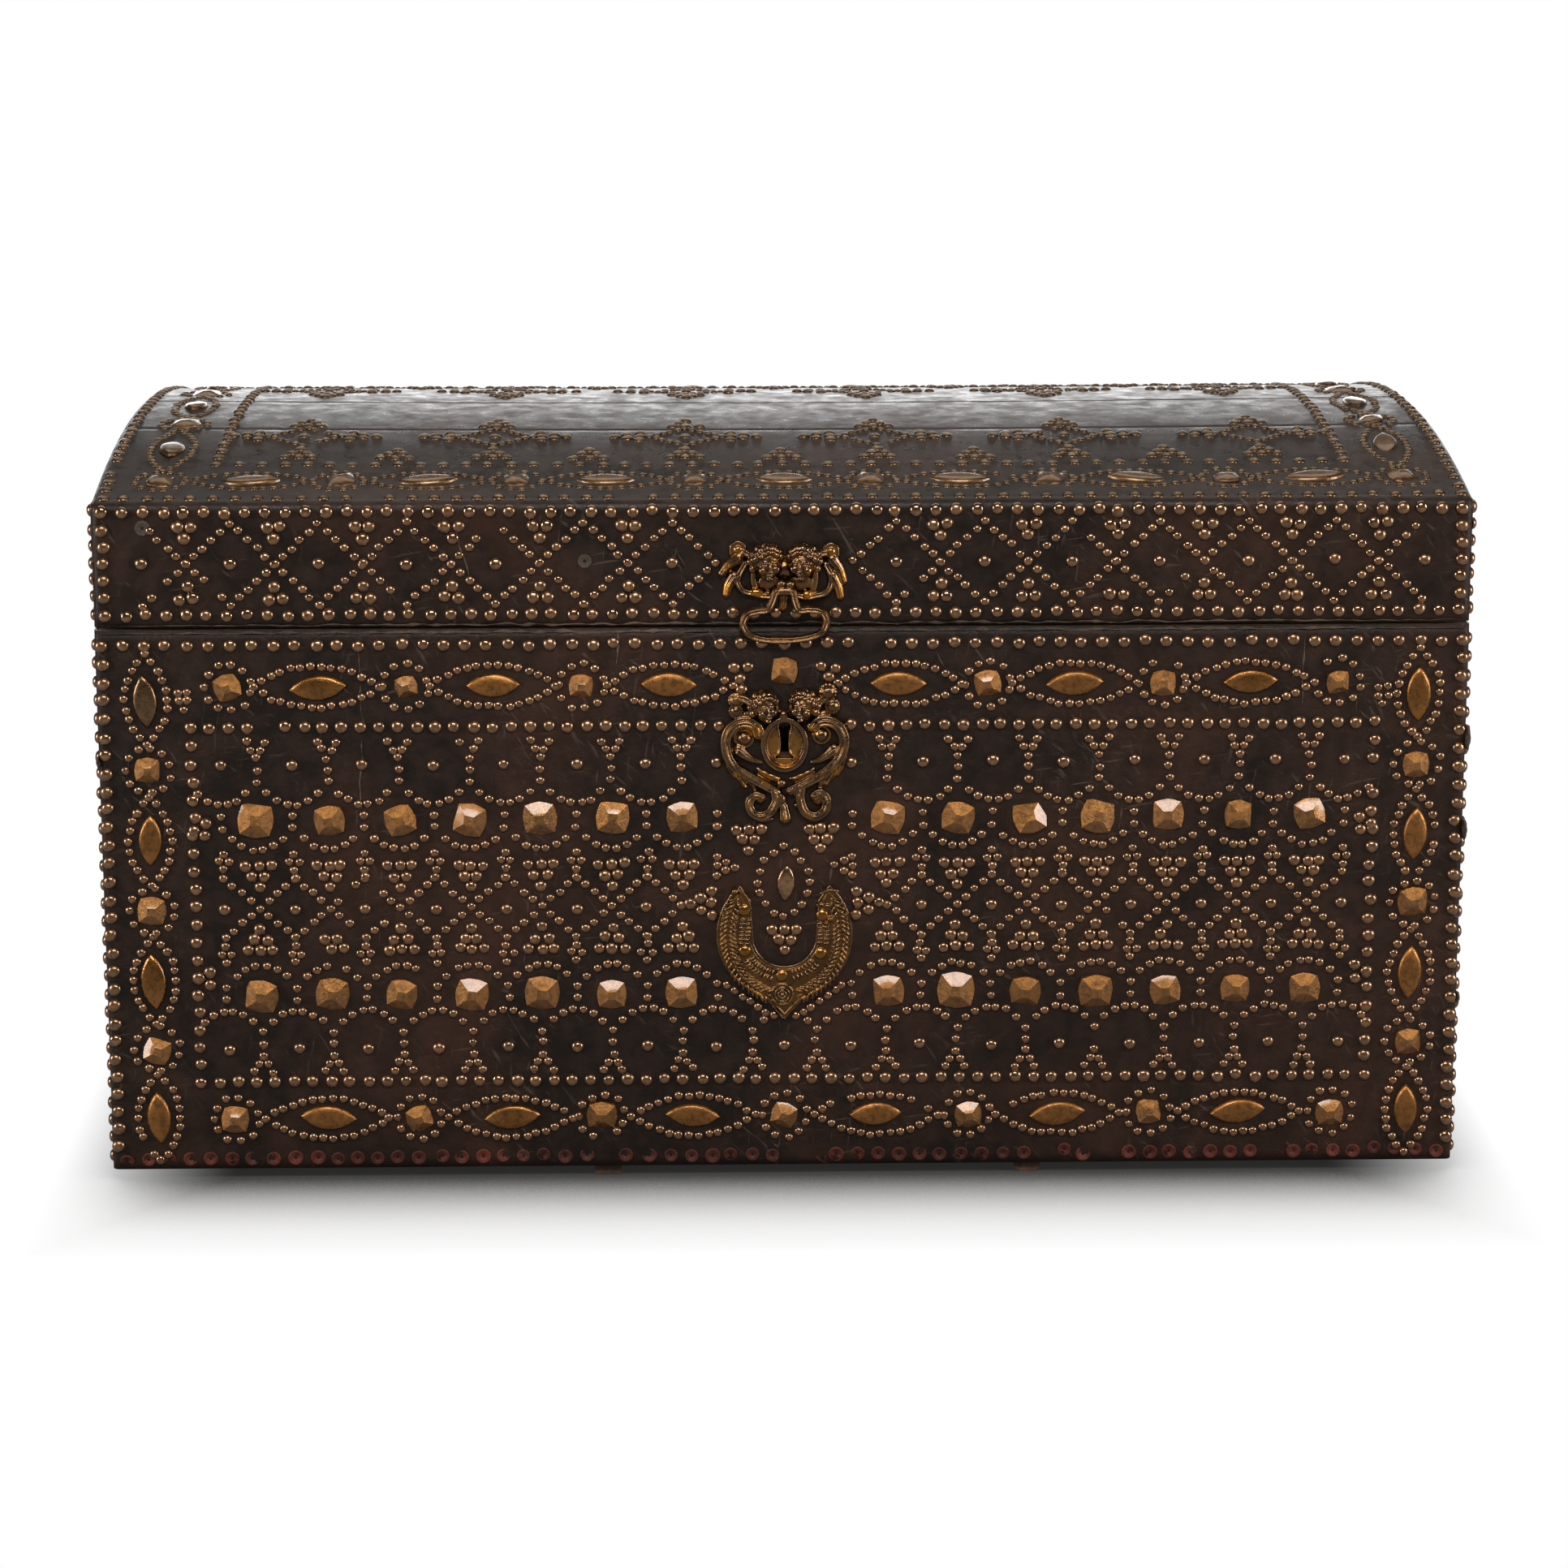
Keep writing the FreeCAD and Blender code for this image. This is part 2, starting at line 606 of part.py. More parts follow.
# Staple on the lid: a plate on the rail, and a lug that drops into the lock
RAIL_IN = f"({FRONT} + dims.hide + dims.lid_board)"
STAPLE_LOW = f"({RIM} - dims.staple_reach)"
staple_solid = joined(
    "staple_solid",
    [
        block(
            "staple_plate_part",
            ("-3 * dims.staple_thick", RAIL_IN, f"{LID} + dims.staple_play"),
            ("6 * dims.staple_thick", "dims.staple_plate", "dims.lid_skirt / 2"),
        ),
        block(
            "staple_bridge",
            ("-dims.staple_thick / 2", RAIL_IN, f"{LID} + dims.staple_play"),
            (
                "dims.staple_thick",
                f"{STAPLE_Y} + dims.staple_depth - {RAIL_IN}",
                "dims.staple_depth",
            ),
        ),
        block(
            "staple_lug",
            ("-dims.staple_thick / 2", STAPLE_Y, STAPLE_LOW),
            (
                "dims.staple_thick",
                "dims.staple_depth",
                f"{LID} + dims.staple_depth - {STAPLE_LOW}",
            ),
        ),
    ],
)
staple_eye = block(
    "staple_eye",
    (
        "-dims.staple_thick",
        f"{BOLT_Y} - dims.bolt_thick / 2 - dims.staple_play",
        f"{BOLT_Z} - dims.bolt_tall / 2 - dims.staple_play",
    ),
    (
        "2 * dims.staple_thick",
        "dims.bolt_thick + 2 * dims.staple_play",
        "dims.bolt_tall + 2 * dims.staple_play",
    ),
)
keep(pair("Cut", "lid_staple", staple_solid, staple_eye))


# Bosses: one body of each shape, then copies of it over the chest
def sketch_on(body, name):
    """A sketch on a body's own ground plane."""
    sketch = body.newObject("Sketcher::SketchObject", name)
    ground = next(plane for plane in body.Origin.OriginFeatures if plane.Role == "XY_Plane")
    sketch.AttachmentSupport = (ground, [""])
    sketch.MapMode = "FlatFace"
    return sketch


ORIGIN = (-1, 1)


def faceted_body(label, corners, height, run):
    """A boss raised from a polygon, with its sides sloped in to a flat top."""
    body = doc.addObject("PartDesign::Body", label)
    sketch = sketch_on(body, f"{label}_outline")
    count = len(corners)
    angles = [2 * math.pi * step / count for step in range(count)]
    start = [Vector(math.cos(angle), math.sin(angle)) * d.square_half for angle in angles]
    lines = [Part.LineSegment(near, far) for near, far in zip(start, start[1:] + start[:1])]
    sides = [sketch.addGeometry(line) for line in lines]
    for side, following in zip(sides, sides[1:] + sides[:1]):
        sketch.addConstraint(Sketcher.Constraint("Coincident", side, 2, following, 1))
    for side, place, (x_text, y_text) in zip(sides, start, corners):
        for kind, value, text in (("DistanceX", place.x, x_text), ("DistanceY", place.y, y_text)):
            number = sketch.addConstraint(Sketcher.Constraint(kind, *ORIGIN, side, 1, value))
            sketch.setExpression(f"Constraints[{number}]", text)
    pad = body.newObject("PartDesign::Pad", f"{label}_pad")
    pad.Profile = sketch
    pad.setExpression("Length", height)
    doc.recompute()
    top = max(range(len(pad.Shape.Faces)), key=lambda i: pad.Shape.Faces[i].CenterOfMass.z)
    slope = body.newObject("PartDesign::Chamfer", f"{label}_slope")
    slope.Base = (pad, [f"Face{top + 1}"])
    slope.ChamferType = "Two distances"
    slope.setExpression("Size", f"{height} - dims.boss_edge")
    slope.setExpression("Size2", run)
    doc.recompute()
    return body


def lens_body(label, long, wide):
    """An almond between two arcs, each arc in four facets."""
    radius = f"(({long}^2 + {wide}^2) / (4 * {wide}))"
    quarter = f"(sqrt({radius}^2 - ({long} / 4)^2) - {radius} + {wide} / 2)"
    upper = [(f"{long} / 4", quarter), ("0", f"{wide} / 2"), (f"-{long} / 4", quarter)]
    lower = [(f"-{long} / 4", f"-{quarter}"), ("0", f"-{wide} / 2"), (f"{long} / 4", f"-{quarter}")]
    corners = [(f"{long} / 2", "0"), *upper, (f"-{long} / 2", "0"), *lower]
    return faceted_body(label, corners, "dims.lens_height", "dims.lens_bevel")


half, bow = "dims.square_half", "(dims.square_half + dims.square_bulge)"
square_corners = [
    (bow, "0"),
    (half, half),
    ("0", bow),
    (f"-{half}", half),
    (f"-{bow}", "0"),
    (f"-{half}", f"-{half}"),
    ("0", f"-{bow}"),
    (half, f"-{half}"),
]
square = faceted_body("square_boss", square_corners, "dims.square_height", "dims.square_slope")
lens = lens_body("lens_boss", "dims.lens_length", "dims.lens_width")
drop = lens_body("drop_boss", "dims.drop_length", "dims.drop_width")

UPRIGHT = Rotation(Vector(0, 0, 1), 90)
TO_FRONT = Rotation(Vector(1, 0, 0), 90)


def on_front(x, z, turn=Rotation()):
    """A place on the front leather, looking outwards."""
    return Placement(Vector(x, -d.case_depth / 2, z), TO_FRONT * turn)


def on_dome(x, y, turn=Rotation()):
    """A place on the domed leather, square to it."""
    lean = math.degrees(math.asin(y / dome_radius))
    height = dome_middle + math.sqrt(dome_radius**2 - y**2)
    return Placement(Vector(x, y, height), Rotation(Vector(1, 0, 0), -lean) * turn)


def copies(label, body, places):
    """A group of separate solids, one at each place."""
    solids = []
    for place in places:
        solid = body.Shape.Solids[0].copy()
        solid.Placement = place.multiply(solid.Placement)
        solids.append(solid)
    made(label, Part.makeCompound(solids), Placement())


SIDES = (-1, 1)
upper_z = rim - d.upper_chain
lower_z = d.runner_height + d.lower_chain
side_x = d.case_width / 2 - d.side_chain
field_z = (upper_z + lower_z) / 2 - d.field_low


def fitting(room, pitch):
    """How many steps of a pattern fit into a length."""
    return int(room / pitch)


squares = [on_front(0, rim - d.crown_boss)]
lenses = []
for step in range(fitting(side_x - d.chain_room - d.upper_chain_start, d.upper_chain_pitch) + 1):
    x = d.upper_chain_start + step * d.upper_chain_pitch
    row = squares if step % 2 else lenses
    row.extend(on_front(side * x, upper_z) for side in SIDES)
reach = fitting(side_x - d.chain_room, d.lower_chain_pitch)
for step in range(-reach, reach + 1):
    row = lenses if step % 2 else squares
    row.append(on_front(step * d.lower_chain_pitch, lower_z))
side_room = d.case_height - d.side_chain_top - d.side_chain_room
for step in range(fitting(side_room, d.side_chain_pitch) + 1):
    z = rim - d.side_chain_top - step * d.side_chain_pitch
    for side in SIDES:
        if step % 2:
            squares.append(on_front(side * side_x, z))
        else:
            lenses.append(on_front(side * side_x, z, UPRIGHT))
for step in range(fitting(side_x - d.chain_room - d.bay_start, d.bay_pitch) + 1):
    x = d.bay_start + step * d.bay_pitch
    for side in SIDES:
        for level in SIDES:
            squares.append(on_front(side * x, field_z + level * d.bay_rows_apart / 2))
copies("front_square_bosses", square, squares)
copies("front_lens_bosses", lens, lenses)
copies("centre_lens_boss", drop, [on_front(0, field_z + d.drop_lift, UPRIGHT)])

lid_squares = []
lid_lenses = []
edge_y = d.case_depth / 2 - d.lid_chain
reach = fitting(d.case_width / 2 - d.lid_end_room, d.lid_chain_pitch)
edge_x = reach * d.lid_chain_pitch
for step in range(-reach, reach + 1):
    row = lid_squares if step % 2 else lid_lenses
    row.extend(on_dome(step * d.lid_chain_pitch, side * edge_y) for side in SIDES)
reach = fitting(edge_y - d.chain_room, d.lid_end_pitch)
for step in range(-reach, reach + 1):
    for side in SIDES:
        if step % 2:
            lid_squares.append(on_dome(side * edge_x, step * d.lid_end_pitch))
        else:
            lid_lenses.append(on_dome(side * edge_x, step * d.lid_end_pitch, UPRIGHT))
copies("lid_square_bosses", square, lid_squares)
copies("lid_lens_bosses", lens, lid_lenses)


# Scrolls, bails and handles follow trails of straight runs and round turns
CHORD_TURN = 30
QUARTER_TURN = 90
HALF_TURN = 180


def trail(start, heading, steps):
    """Points along ("run", length) and ("turn", radius, degrees) steps; a left turn is positive."""
    points, angle = [start], math.radians(heading)
    for step in steps:
        if step[0] == "run":
            points.append(points[-1] + Vector(math.cos(angle), math.sin(angle), 0) * step[1])
            continue
        radius, sweep = step[1:]
        side = angle + math.copysign(math.pi / 2, sweep)
        centre = points[-1] + Vector(math.cos(side), math.sin(side), 0) * radius
        spoke = points[-1] - centre
        chords = math.ceil(abs(sweep) / CHORD_TURN)
        for chord in range(1, chords + 1):
            points.append(centre + Rotation(Vector(0, 0, 1), sweep * chord / chords).multVec(spoke))
        angle += math.radians(sweep)
    return points


MITRED = 1


def swept(start, heading, steps, profile):
    """A section, given as (across, up) points, carried along a trail with mitred corners."""
    points = trail(start, heading, steps)
    ahead = points[1] - points[0]
    across = Vector(-ahead.y, ahead.x, 0).normalize()
    corners = [start + across * aside + Vector(0, 0, up) for aside, up in profile]
    section = Part.makePolygon(corners + corners[:1])
    return Part.makePolygon(points).makePipeShell([section], True, False, MITRED)


def band(start, heading, steps, half, height):
    """A flat scroll that lies on the leather."""
    return swept(start, heading, steps, [(-half, 0), (half, 0), (half, height), (-half, height)])


def bar(start, heading, steps, radius, sides):
    """A forged bar with flat sides."""
    spokes = [math.radians(360 * (step + 0.5) / sides) for step in range(sides)]
    return swept(start, heading, steps, [(radius * math.cos(a), radius * math.sin(a)) for a in spokes])


MIRROR = (Vector(0, 0, 0), Vector(1, 0, 0))


def both_sides(shapes):
    """Shapes made for the left, with their mirror images for the right."""
    return shapes + [shape.mirror(*MIRROR) for shape in shapes]


def dome_boss(radius, x, y, height, sides=8):
    """A rounded boss on a mount, in flat facets."""
    levels = ((1.0, 0.0), (0.92, 0.45), (0.55, 1.0))
    spokes = [2 * math.pi * (step + 0.5) / sides for step in range(sides + 1)]
    rings = [
        [
            Vector(x + share * radius * math.cos(a), y + share * radius * math.sin(a), up * height)
            for a in spokes
        ]
        for share, up in levels
    ]
    loops = [rings[0], rings[-1]]
    for low, high in zip(rings, rings[1:]):
        for i in range(sides):
            loops.append([low[i], low[i + 1], high[i + 1], high[i], low[i]])
    shell = Part.makeShell([Part.Face(Part.makePolygon(loop)) for loop in loops])
    shell.sewShape()
    return Part.Solid(shell)


def cast(label, shapes):
    """One casting out of overlapping forms."""
    solids = shapes[0].fuse(shapes[1:]).removeSplitter().Solids
    if len(solids) != 1:
        raise RuntimeError(f"{label} fell into {len(solids)} pieces")
    return solids[0]


def oval(half_width, half_height):
    """An upright oval of four tangent arcs."""
    root = math.sqrt(0.5)
    small = (root * (half_width + half_height) - half_height) / (2 * root - 1)
    corner = Vector(small * root, half_height - small + small * root, 0)
    left_corner = Vector(-corner.x, corner.y)
    corners = [corner, left_corner, -corner, -left_corner]
    top, left = Vector(0, half_height), Vector(-half_width, 0)
    bulges = [top, left, -top, -left]
    arcs = [
        Part.Arc(start, middle, end).toShape()
        for start, middle, end in zip(corners, bulges, corners[1:] + corners[:1])
    ]
    return Part.Face(Part.Wire(arcs))


# Escutcheon: an oval ring round the keyhole, two heads over it, scrolls beside and below it
ring = oval(d.ring_half_width, d.ring_half_height).extrude(Vector(0, 0, d.ring_relief))
well = oval(d.ring_half_width - d.ring_band, d.ring_half_height - d.ring_band)
ring = ring.cut(well.extrude(Vector(0, 0, d.ring_relief)))
plate = oval(d.ring_half_width - d.ring_band / 2, d.ring_half_height - d.ring_band / 2)
plate = plate.extrude(Vector(0, 0, d.plate_relief))
volute = band(
    Vector(-d.ring_half_width - 2 * d.volute_inner, d.volute_lift),
    -90,
    [
        ("turn", d.volute_inner, HALF_TURN),
        ("turn", d.volute_turn, HALF_TURN),
        ("turn", d.volute_tail, 30),
    ],
    d.volute_half,
    d.volute_relief,
)
eye = dome_boss(d.volute_eye, -d.ring_half_width - d.volute_turn, d.volute_lift, d.eye_relief)
stem = band(
    Vector(-d.stem_spread, -d.stem_drop),
    -25,
    [("turn", d.stem_bend, -25), ("run", d.stem_end)],
    d.volute_half,
    d.stem_relief,
)
foot_scroll = band(
    Vector(-d.foot_spread, -d.ring_half_height - d.foot_drop),
    -90,
    [
        ("run", d.foot_run),
        ("turn", d.foot_turn, -QUARTER_TURN),
        ("turn", d.foot_mid_turn, -QUARTER_TURN),
        ("turn", d.foot_inner_turn, -120),
    ],
    d.volute_half,
    d.volute_relief,
)
ear_x, ear_y = -(d.knob_spread + d.head_spread) / 2, (d.knob_lift + d.head_lift) / 2
side_forms = [
    dome_boss(d.head_radius, -d.head_spread, d.head_lift, d.head_radius, 12),
    dome_boss(d.knob_radius, -d.neck_spread, d.neck_lift, d.knob_radius),
    dome_boss(d.knob_radius, -d.knob_spread, d.knob_lift, d.knob_radius),
    dome_boss(d.knob_radius, ear_x, ear_y, d.knob_radius),
    volute,
    eye,
    stem,
    foot_scroll,
]
bead_top = -d.ring_half_height - d.bead_start
beads = [
    dome_boss(d.bead, 0, bead_top - step * d.bead_pitch, d.bead, 6)
    for step in range(int(d.bead_count))
]
escutcheon = cast("lock_escutcheon", [ring, plate, *both_sides(side_forms), *beads])
escutcheon_place = on_front(0, rim - d.keyhole_drop)
doc.recompute()
key_cut = keyhole.Shape.copy()
key_cut.Placement = escutcheon_place.inverse().multiply(key_cut.Placement)
made("lock_escutcheon", escutcheon.cut(key_cut).Solids[0], escutcheon_place)

# Mask mount: two heads, knobs and wings, scrolls below, and the barrel that holds the bail
pivot = Vector(0, -d.bail_pivot_drop, d.bail_standoff)
wing_start = Vector(-d.knob_spread, d.mask_knob_lift - d.knob_radius)
wing = band(
    wing_start,
    -135,
    [("run", d.wing_run), ("turn", d.wing_turn, 55)],
    d.volute_half,
    d.volute_relief,
)
wing_link = band(
    wing_start,
    -60,
    [("turn", d.wing_link_turn, -30), ("run", d.wing_link_run)],
    d.volute_half,
    d.stem_relief,
)
lower_scroll = band(
    Vector(-d.bail_barrel_half / 2, -d.mask_drop),
    180,
    [("run", d.mask_scroll_run), ("turn", d.mask_scroll_turn, -110)],
    d.volute_half,
    d.stem_relief,
)
mask_ear_x = -(d.knob_spread + d.mask_head_spread) / 2
mask_ear_y = (d.mask_knob_lift + d.mask_head_lift + d.bead) / 2
mask_side = [
    dome_boss(d.mask_head_radius, -d.mask_head_spread, d.mask_head_lift, d.mask_head_radius, 12),
    dome_boss(d.knob_radius, -d.knob_spread, d.mask_knob_lift, d.knob_radius),
    dome_boss(d.knob_radius, mask_ear_x, mask_ear_y, d.knob_radius),
    dome_boss(d.cushion, -d.mask_head_spread, -d.cushion_drop, d.bead),
    wing,
    wing_link,
    lower_scroll,
]
barrel = Part.makeCylinder(
    d.bail_barrel,
    2 * d.bail_barrel_half,
    pivot - Vector(d.bail_barrel_half, 0, 0),
    Vector(1, 0, 0),
)
neck = Part.makeBox(
    2 * d.bail_barrel_half,
    2 * d.bail_stem_half,
    d.bail_standoff,
    Vector(-d.bail_barrel_half, pivot.y - d.bail_stem_half, 0),
)
tongue = [
    dome_boss(d.crown, 0, 0, d.crown, 6),
    dome_boss(d.throat, 0, -d.throat_drop, d.bead, 6),
    dome_boss(d.bead, 0, -d.mask_drop, d.bead, 6),
    dome_boss(d.tongue_tip, 0, -d.tongue_reach, d.tongue_tip, 6),
]
mask = cast("mask_mount", [neck, barrel, *both_sides(mask_side), *tongue])
mask_bore = Part.makeCylinder(
    d.bail_pin + d.pin_clearance,
    4 * d.bail_barrel_half,
    pivot - Vector(2 * d.bail_barrel_half, 0, 0),
    Vector(1, 0, 0),
)
mask_place = on_front(0, lid_edge + d.mask_lift)
made("mask_mount", mask.cut(mask_bore).Solids[0], mask_place)


def hung_bail(label, pin_start, pin_radius, arm_start, steps, radius, sides):
    """A bail in its hanging place: round pins on the straight starts of the arms, and a grip."""
    straight = steps[0][1]
    pin = Part.makeCylinder(pin_radius, arm_start.x + straight - pin_start.x, pin_start, Vector(1, 0, 0))
    arm = bar(arm_start, 0, steps, radius, sides)
    half_bail = pin.fuse(arm)
    return cast(label, [half_bail, half_bail.mirror(*MIRROR)])


# Bail pull: the arms drop from the barrel, spread, and turn under into the grip
bail_pin_start = pivot + Vector(d.bail_barrel_half / 4, 0, 0)
bail_arm_start = pivot + Vector(d.bail_barrel_half + d.knuckle_gap, 0, 0)
bail_steps = [
    ("run", d.bail_start),
    ("turn", d.bail_neck, -QUARTER_TURN),
    ("run", d.bail_neck),
    ("turn", d.bail_shoulder, d.bail_spread),
    ("run", d.bail_side / 2),
    ("turn", d.bail_side, -(d.bail_spread + QUARTER_TURN)),
]
bail_end = trail(bail_arm_start, 0, bail_steps)[-1]
bail_steps.append(("run", bail_end.x))
bail = hung_bail("bail_pull", bail_pin_start, d.bail_pin, bail_arm_start, bail_steps, d.bail_wire, 6)
made("bail_pull", bail, mask_place)

def octagon(middle, across, up):
    """An eight-sided face from its middle and two half widths."""
    angles = [math.radians(45 * step + 22.5) for step in range(9)]
    corners = [middle + across * math.cos(angle) + up * math.sin(angle) for angle in angles]
    return Part.Face(Part.makePolygon(corners))


# End handles: an eight-sided plate and an eye at each side, and a bail between them
END_TURN = {
    "left": Rotation(Vector(0, -1, 0), Vector(0, 0, 1), Vector(-1, 0, 0), "XYZ"),
    "right": Rotation(Vector(0, 1, 0), Vector(0, 0, 1), Vector(1, 0, 0), "XYZ"),
}
lug_middle = d.handle_span / 2
lug_start = Vector(lug_middle - d.lug_width / 2, 0, d.handle_standoff)
rose = octagon(Vector(lug_middle, 0), Vector(d.rose_radius, 0), Vector(0, d.rose_radius))
rose = rose.extrude(Vector(0, 0, d.rose_thick))
lug_eye = octagon(lug_start, Vector(0, d.lug_radius), Vector(0, 0, d.lug_radius))
lug_eye = lug_eye.extrude(Vector(d.lug_width, 0, 0))
lug_neck = Part.makeBox(
    d.lug_width,
    2 * d.lug_neck_half,
    d.handle_standoff,
    Vector(lug_start.x, -d.lug_neck_half, 0),
)
lug_bore = Part.makeCylinder(
    d.handle_pin + d.pin_clearance,
    2 * d.handle_span,
    Vector(0, 0, d.handle_standoff),
    Vector(1, 0, 0),
)
lug = cast("handle lug", [rose, lug_eye, lug_neck]).cut(lug_bore).Solids[0]
lugs = Part.makeCompound([lug, lug.mirror(*MIRROR)])
handle_arm = Vector(lug_middle + d.lug_width / 2 + d.knuckle_gap, 0, d.handle_standoff)
handle_steps = [
    ("run", d.handle_start),
    ("turn", d.handle_bend, -QUARTER_TURN),
    ("run", d.handle_drop - 2 * d.handle_bend),
    ("turn", d.handle_bend, -QUARTER_TURN),
]
handle_end = trail(handle_arm, 0, handle_steps)[-1]
handle_steps.append(("run", handle_end.x))
handle_pin_start = lug_start - Vector(d.knuckle_gap, 0, 0)
handle = hung_bail("handle", handle_pin_start, d.handle_pin, handle_arm, handle_steps, d.handle_rod, 4)
for side, sign in (("left", -1), ("right", 1)):
    place = Placement(Vector(sign * d.case_width / 2, 0, d.handle_height), END_TURN[side])
    made(f"{side}_handle_lugs", lugs, place)
    made(f"{side}_handle", handle, place)


# Crescent mount: a horseshoe plate with a low rim round its raised face
def horseshoe(inset, height):
    """The crescent's outline, drawn in from its edge and raised."""
    reach, gap = d.crescent_reach - inset, d.crescent_gap + inset
    shoulder = Vector(d.crescent_shoulder, -d.crescent_shoulder_drop) * (reach / d.crescent_reach)
    tip_out = Vector(d.crescent_tip_out - inset / 2, d.crescent_tip - 2 * inset)
    tip_in = Vector(d.crescent_tip_in + inset, d.crescent_tip_low - inset)
    foot = Vector(0, 2 * inset - d.crescent_point)
    hollow = (shoulder + foot) * 0.5 + Vector(-1, 1).normalize() * d.crescent_ogee
    floor = Vector(0, -d.crescent_floor - inset)
    side = Part.Arc(tip_out, Vector(reach, 0), shoulder).toShape().discretize(Number=12)
    side += Part.Arc(shoulder, hollow, foot).toShape().discretize(Number=4)[1:]
    inner = [tip_in, *Part.Arc(Vector(gap, 0), floor, Vector(-gap, 0)).toShape().discretize(Number=14)]
    other_side = [Vector(-corner.x, corner.y) for corner in reversed(side[:-1])]
    outline = [*side, *other_side, Vector(-tip_in.x, tip_in.y), *reversed(inner), side[0]]
    return Part.Face(Part.makePolygon(outline)).extrude(Vector(0, 0, height))


crescent_forms = [horseshoe(0, d.crescent_plate), horseshoe(d.crescent_rim, d.crescent_relief)]
made("crescent_mount", cast("crescent_mount", crescent_forms), on_front(0, field_z - d.crescent_drop))

# Every object has to be sound before anything is written
doc.recompute()
faults = [obj.Label for obj in doc.Objects if "Invalid" in obj.State or "Error" in obj.State]
faults += [piece.Label for piece in PIECES if piece.Shape.isNull() or not piece.Shape.isValid()]
if faults:
    raise RuntimeError(f"unsound: {faults}")
for piece in PIECES:
    piece.Shape.exportStep(f"parts/{piece.Label}.step")
    print(piece.Label, len(piece.Shape.Solids), round(piece.Shape.Volume))
print(len(PIECES), "pieces")
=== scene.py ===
# %% [markdown]
# A leather blanket chest, dressed over its CAD frame. The wooden boards, hinges, lock and joints
# come from the frame. This script adds what a leather worker, a nailer and a founder added to the
# carcase: the hide, about five thousand brass nails, stamped bosses and three cast mounts.
# Everything is in metres, in the frame's own place, so each piece goes where the boards say.

# %% Load the frame
import math
import random

import bmesh
import bpy
from mathutils import Matrix, Vector, noise
from mathutils.geometry import interpolate_bezier


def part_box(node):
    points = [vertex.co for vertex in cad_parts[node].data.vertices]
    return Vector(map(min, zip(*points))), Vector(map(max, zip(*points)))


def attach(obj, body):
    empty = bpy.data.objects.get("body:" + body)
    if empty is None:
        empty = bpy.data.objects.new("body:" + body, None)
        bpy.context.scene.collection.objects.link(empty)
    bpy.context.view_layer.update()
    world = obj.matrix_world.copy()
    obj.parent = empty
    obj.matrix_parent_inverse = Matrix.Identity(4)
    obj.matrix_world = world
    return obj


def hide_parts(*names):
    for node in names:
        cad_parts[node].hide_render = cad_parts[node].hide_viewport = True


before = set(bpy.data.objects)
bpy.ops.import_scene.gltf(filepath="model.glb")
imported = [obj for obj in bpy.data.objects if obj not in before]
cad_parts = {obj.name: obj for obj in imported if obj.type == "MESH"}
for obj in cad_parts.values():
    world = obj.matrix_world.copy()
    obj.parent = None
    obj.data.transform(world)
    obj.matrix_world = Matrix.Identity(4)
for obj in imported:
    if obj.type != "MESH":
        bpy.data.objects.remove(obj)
scene = bpy.context.scene
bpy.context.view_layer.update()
MM = 0.001
front_low, front_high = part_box("front_leather")
skirt_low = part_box("lid_front_leather")[0]
top_low, top_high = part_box("lid_top_leather")
HALF_WIDTH, HALF_DEPTH = front_high.x, -front_low.y
CASE_FOOT, RIM = front_low.z, front_high.z
LID_EDGE, CROWN = skirt_low.z, top_high.z
HIDE = front_high.y - front_low.y
print("case", HALF_WIDTH, HALF_DEPTH, CASE_FOOT, RIM, "lid", LID_EDGE, CROWN)

# %% [markdown]
# The lid is an arch across the depth. Three numbers of the frame give its radius: the height of
# the crown, the height of the edges and half the depth. Between its stiff ends the old lid has
# sunk a few millimetres, which shows as ends that stand a little high. One function gives the
# height of the hide at any point, so that nails and bosses can be set on it later.

# %% The curve of the lid
SKIRT_TOP = top_low.z + HIDE
RISE = CROWN - SKIRT_TOP
LID_RADIUS = (HALF_DEPTH**2 + RISE**2) / (2 * RISE)
END_LIFT = 3.6 * MM


def lid_height(x, y):
    """Height of the lid's hide above the floor."""
    arch = CROWN - LID_RADIUS + math.sqrt(LID_RADIUS**2 - y**2)
    return arch + END_LIFT * (x / HALF_WIDTH) ** 2 * (1 - (y / HALF_DEPTH) ** 2)


def swell(point):
    """How far old leather stands off its board: low waves and smaller wrinkles."""
    waves = noise.noise(Vector((point.x * 6, point.y * 9, point.z * 9)))
    wrinkles = noise.noise(Vector((point.x * 30, point.y * 60, point.z * 60)))
    calm = 0.45 if point.z > SKIRT_TOP else 1.0
    return (0.55 + calm * (0.35 * waves + 0.12 * wrinkles)) * MM


print("lid radius", round(LID_RADIUS, 3), "rise", round(RISE, 4))

# %% [markdown]
# The photograph is taken from a little above, with a long lens, and its uprights stay upright.
# A camera that looks down would make them lean, so part of the downward look comes from a shift
# of the lens, as on a view camera, and the rest from a tilt.

# %% Camera


def in_scene(name, data):
    """Make an object of some data and put it in the scene."""
    obj = bpy.data.objects.new(name, data)
    scene.collection.objects.link(obj)
    return obj


camera = in_scene("camera", bpy.data.cameras.new("camera"))
scene.camera = camera
camera.data.sensor_width = 36
camera.data.lens = 89.73
camera.data.shift_y = -0.14
camera.location = (-0.0691, -3.3295, 1.1418)
CAMERA_TILT, CAMERA_YAW = math.radians(11.639), math.radians(1.290)
ahead = Vector((
    math.sin(CAMERA_YAW) * math.cos(CAMERA_TILT),
    math.cos(CAMERA_YAW) * math.cos(CAMERA_TILT),
    -math.sin(CAMERA_TILT),
))
camera.rotation_euler = ahead.to_track_quat("-Z", "Y").to_euler()
print("camera", tuple(camera.location))

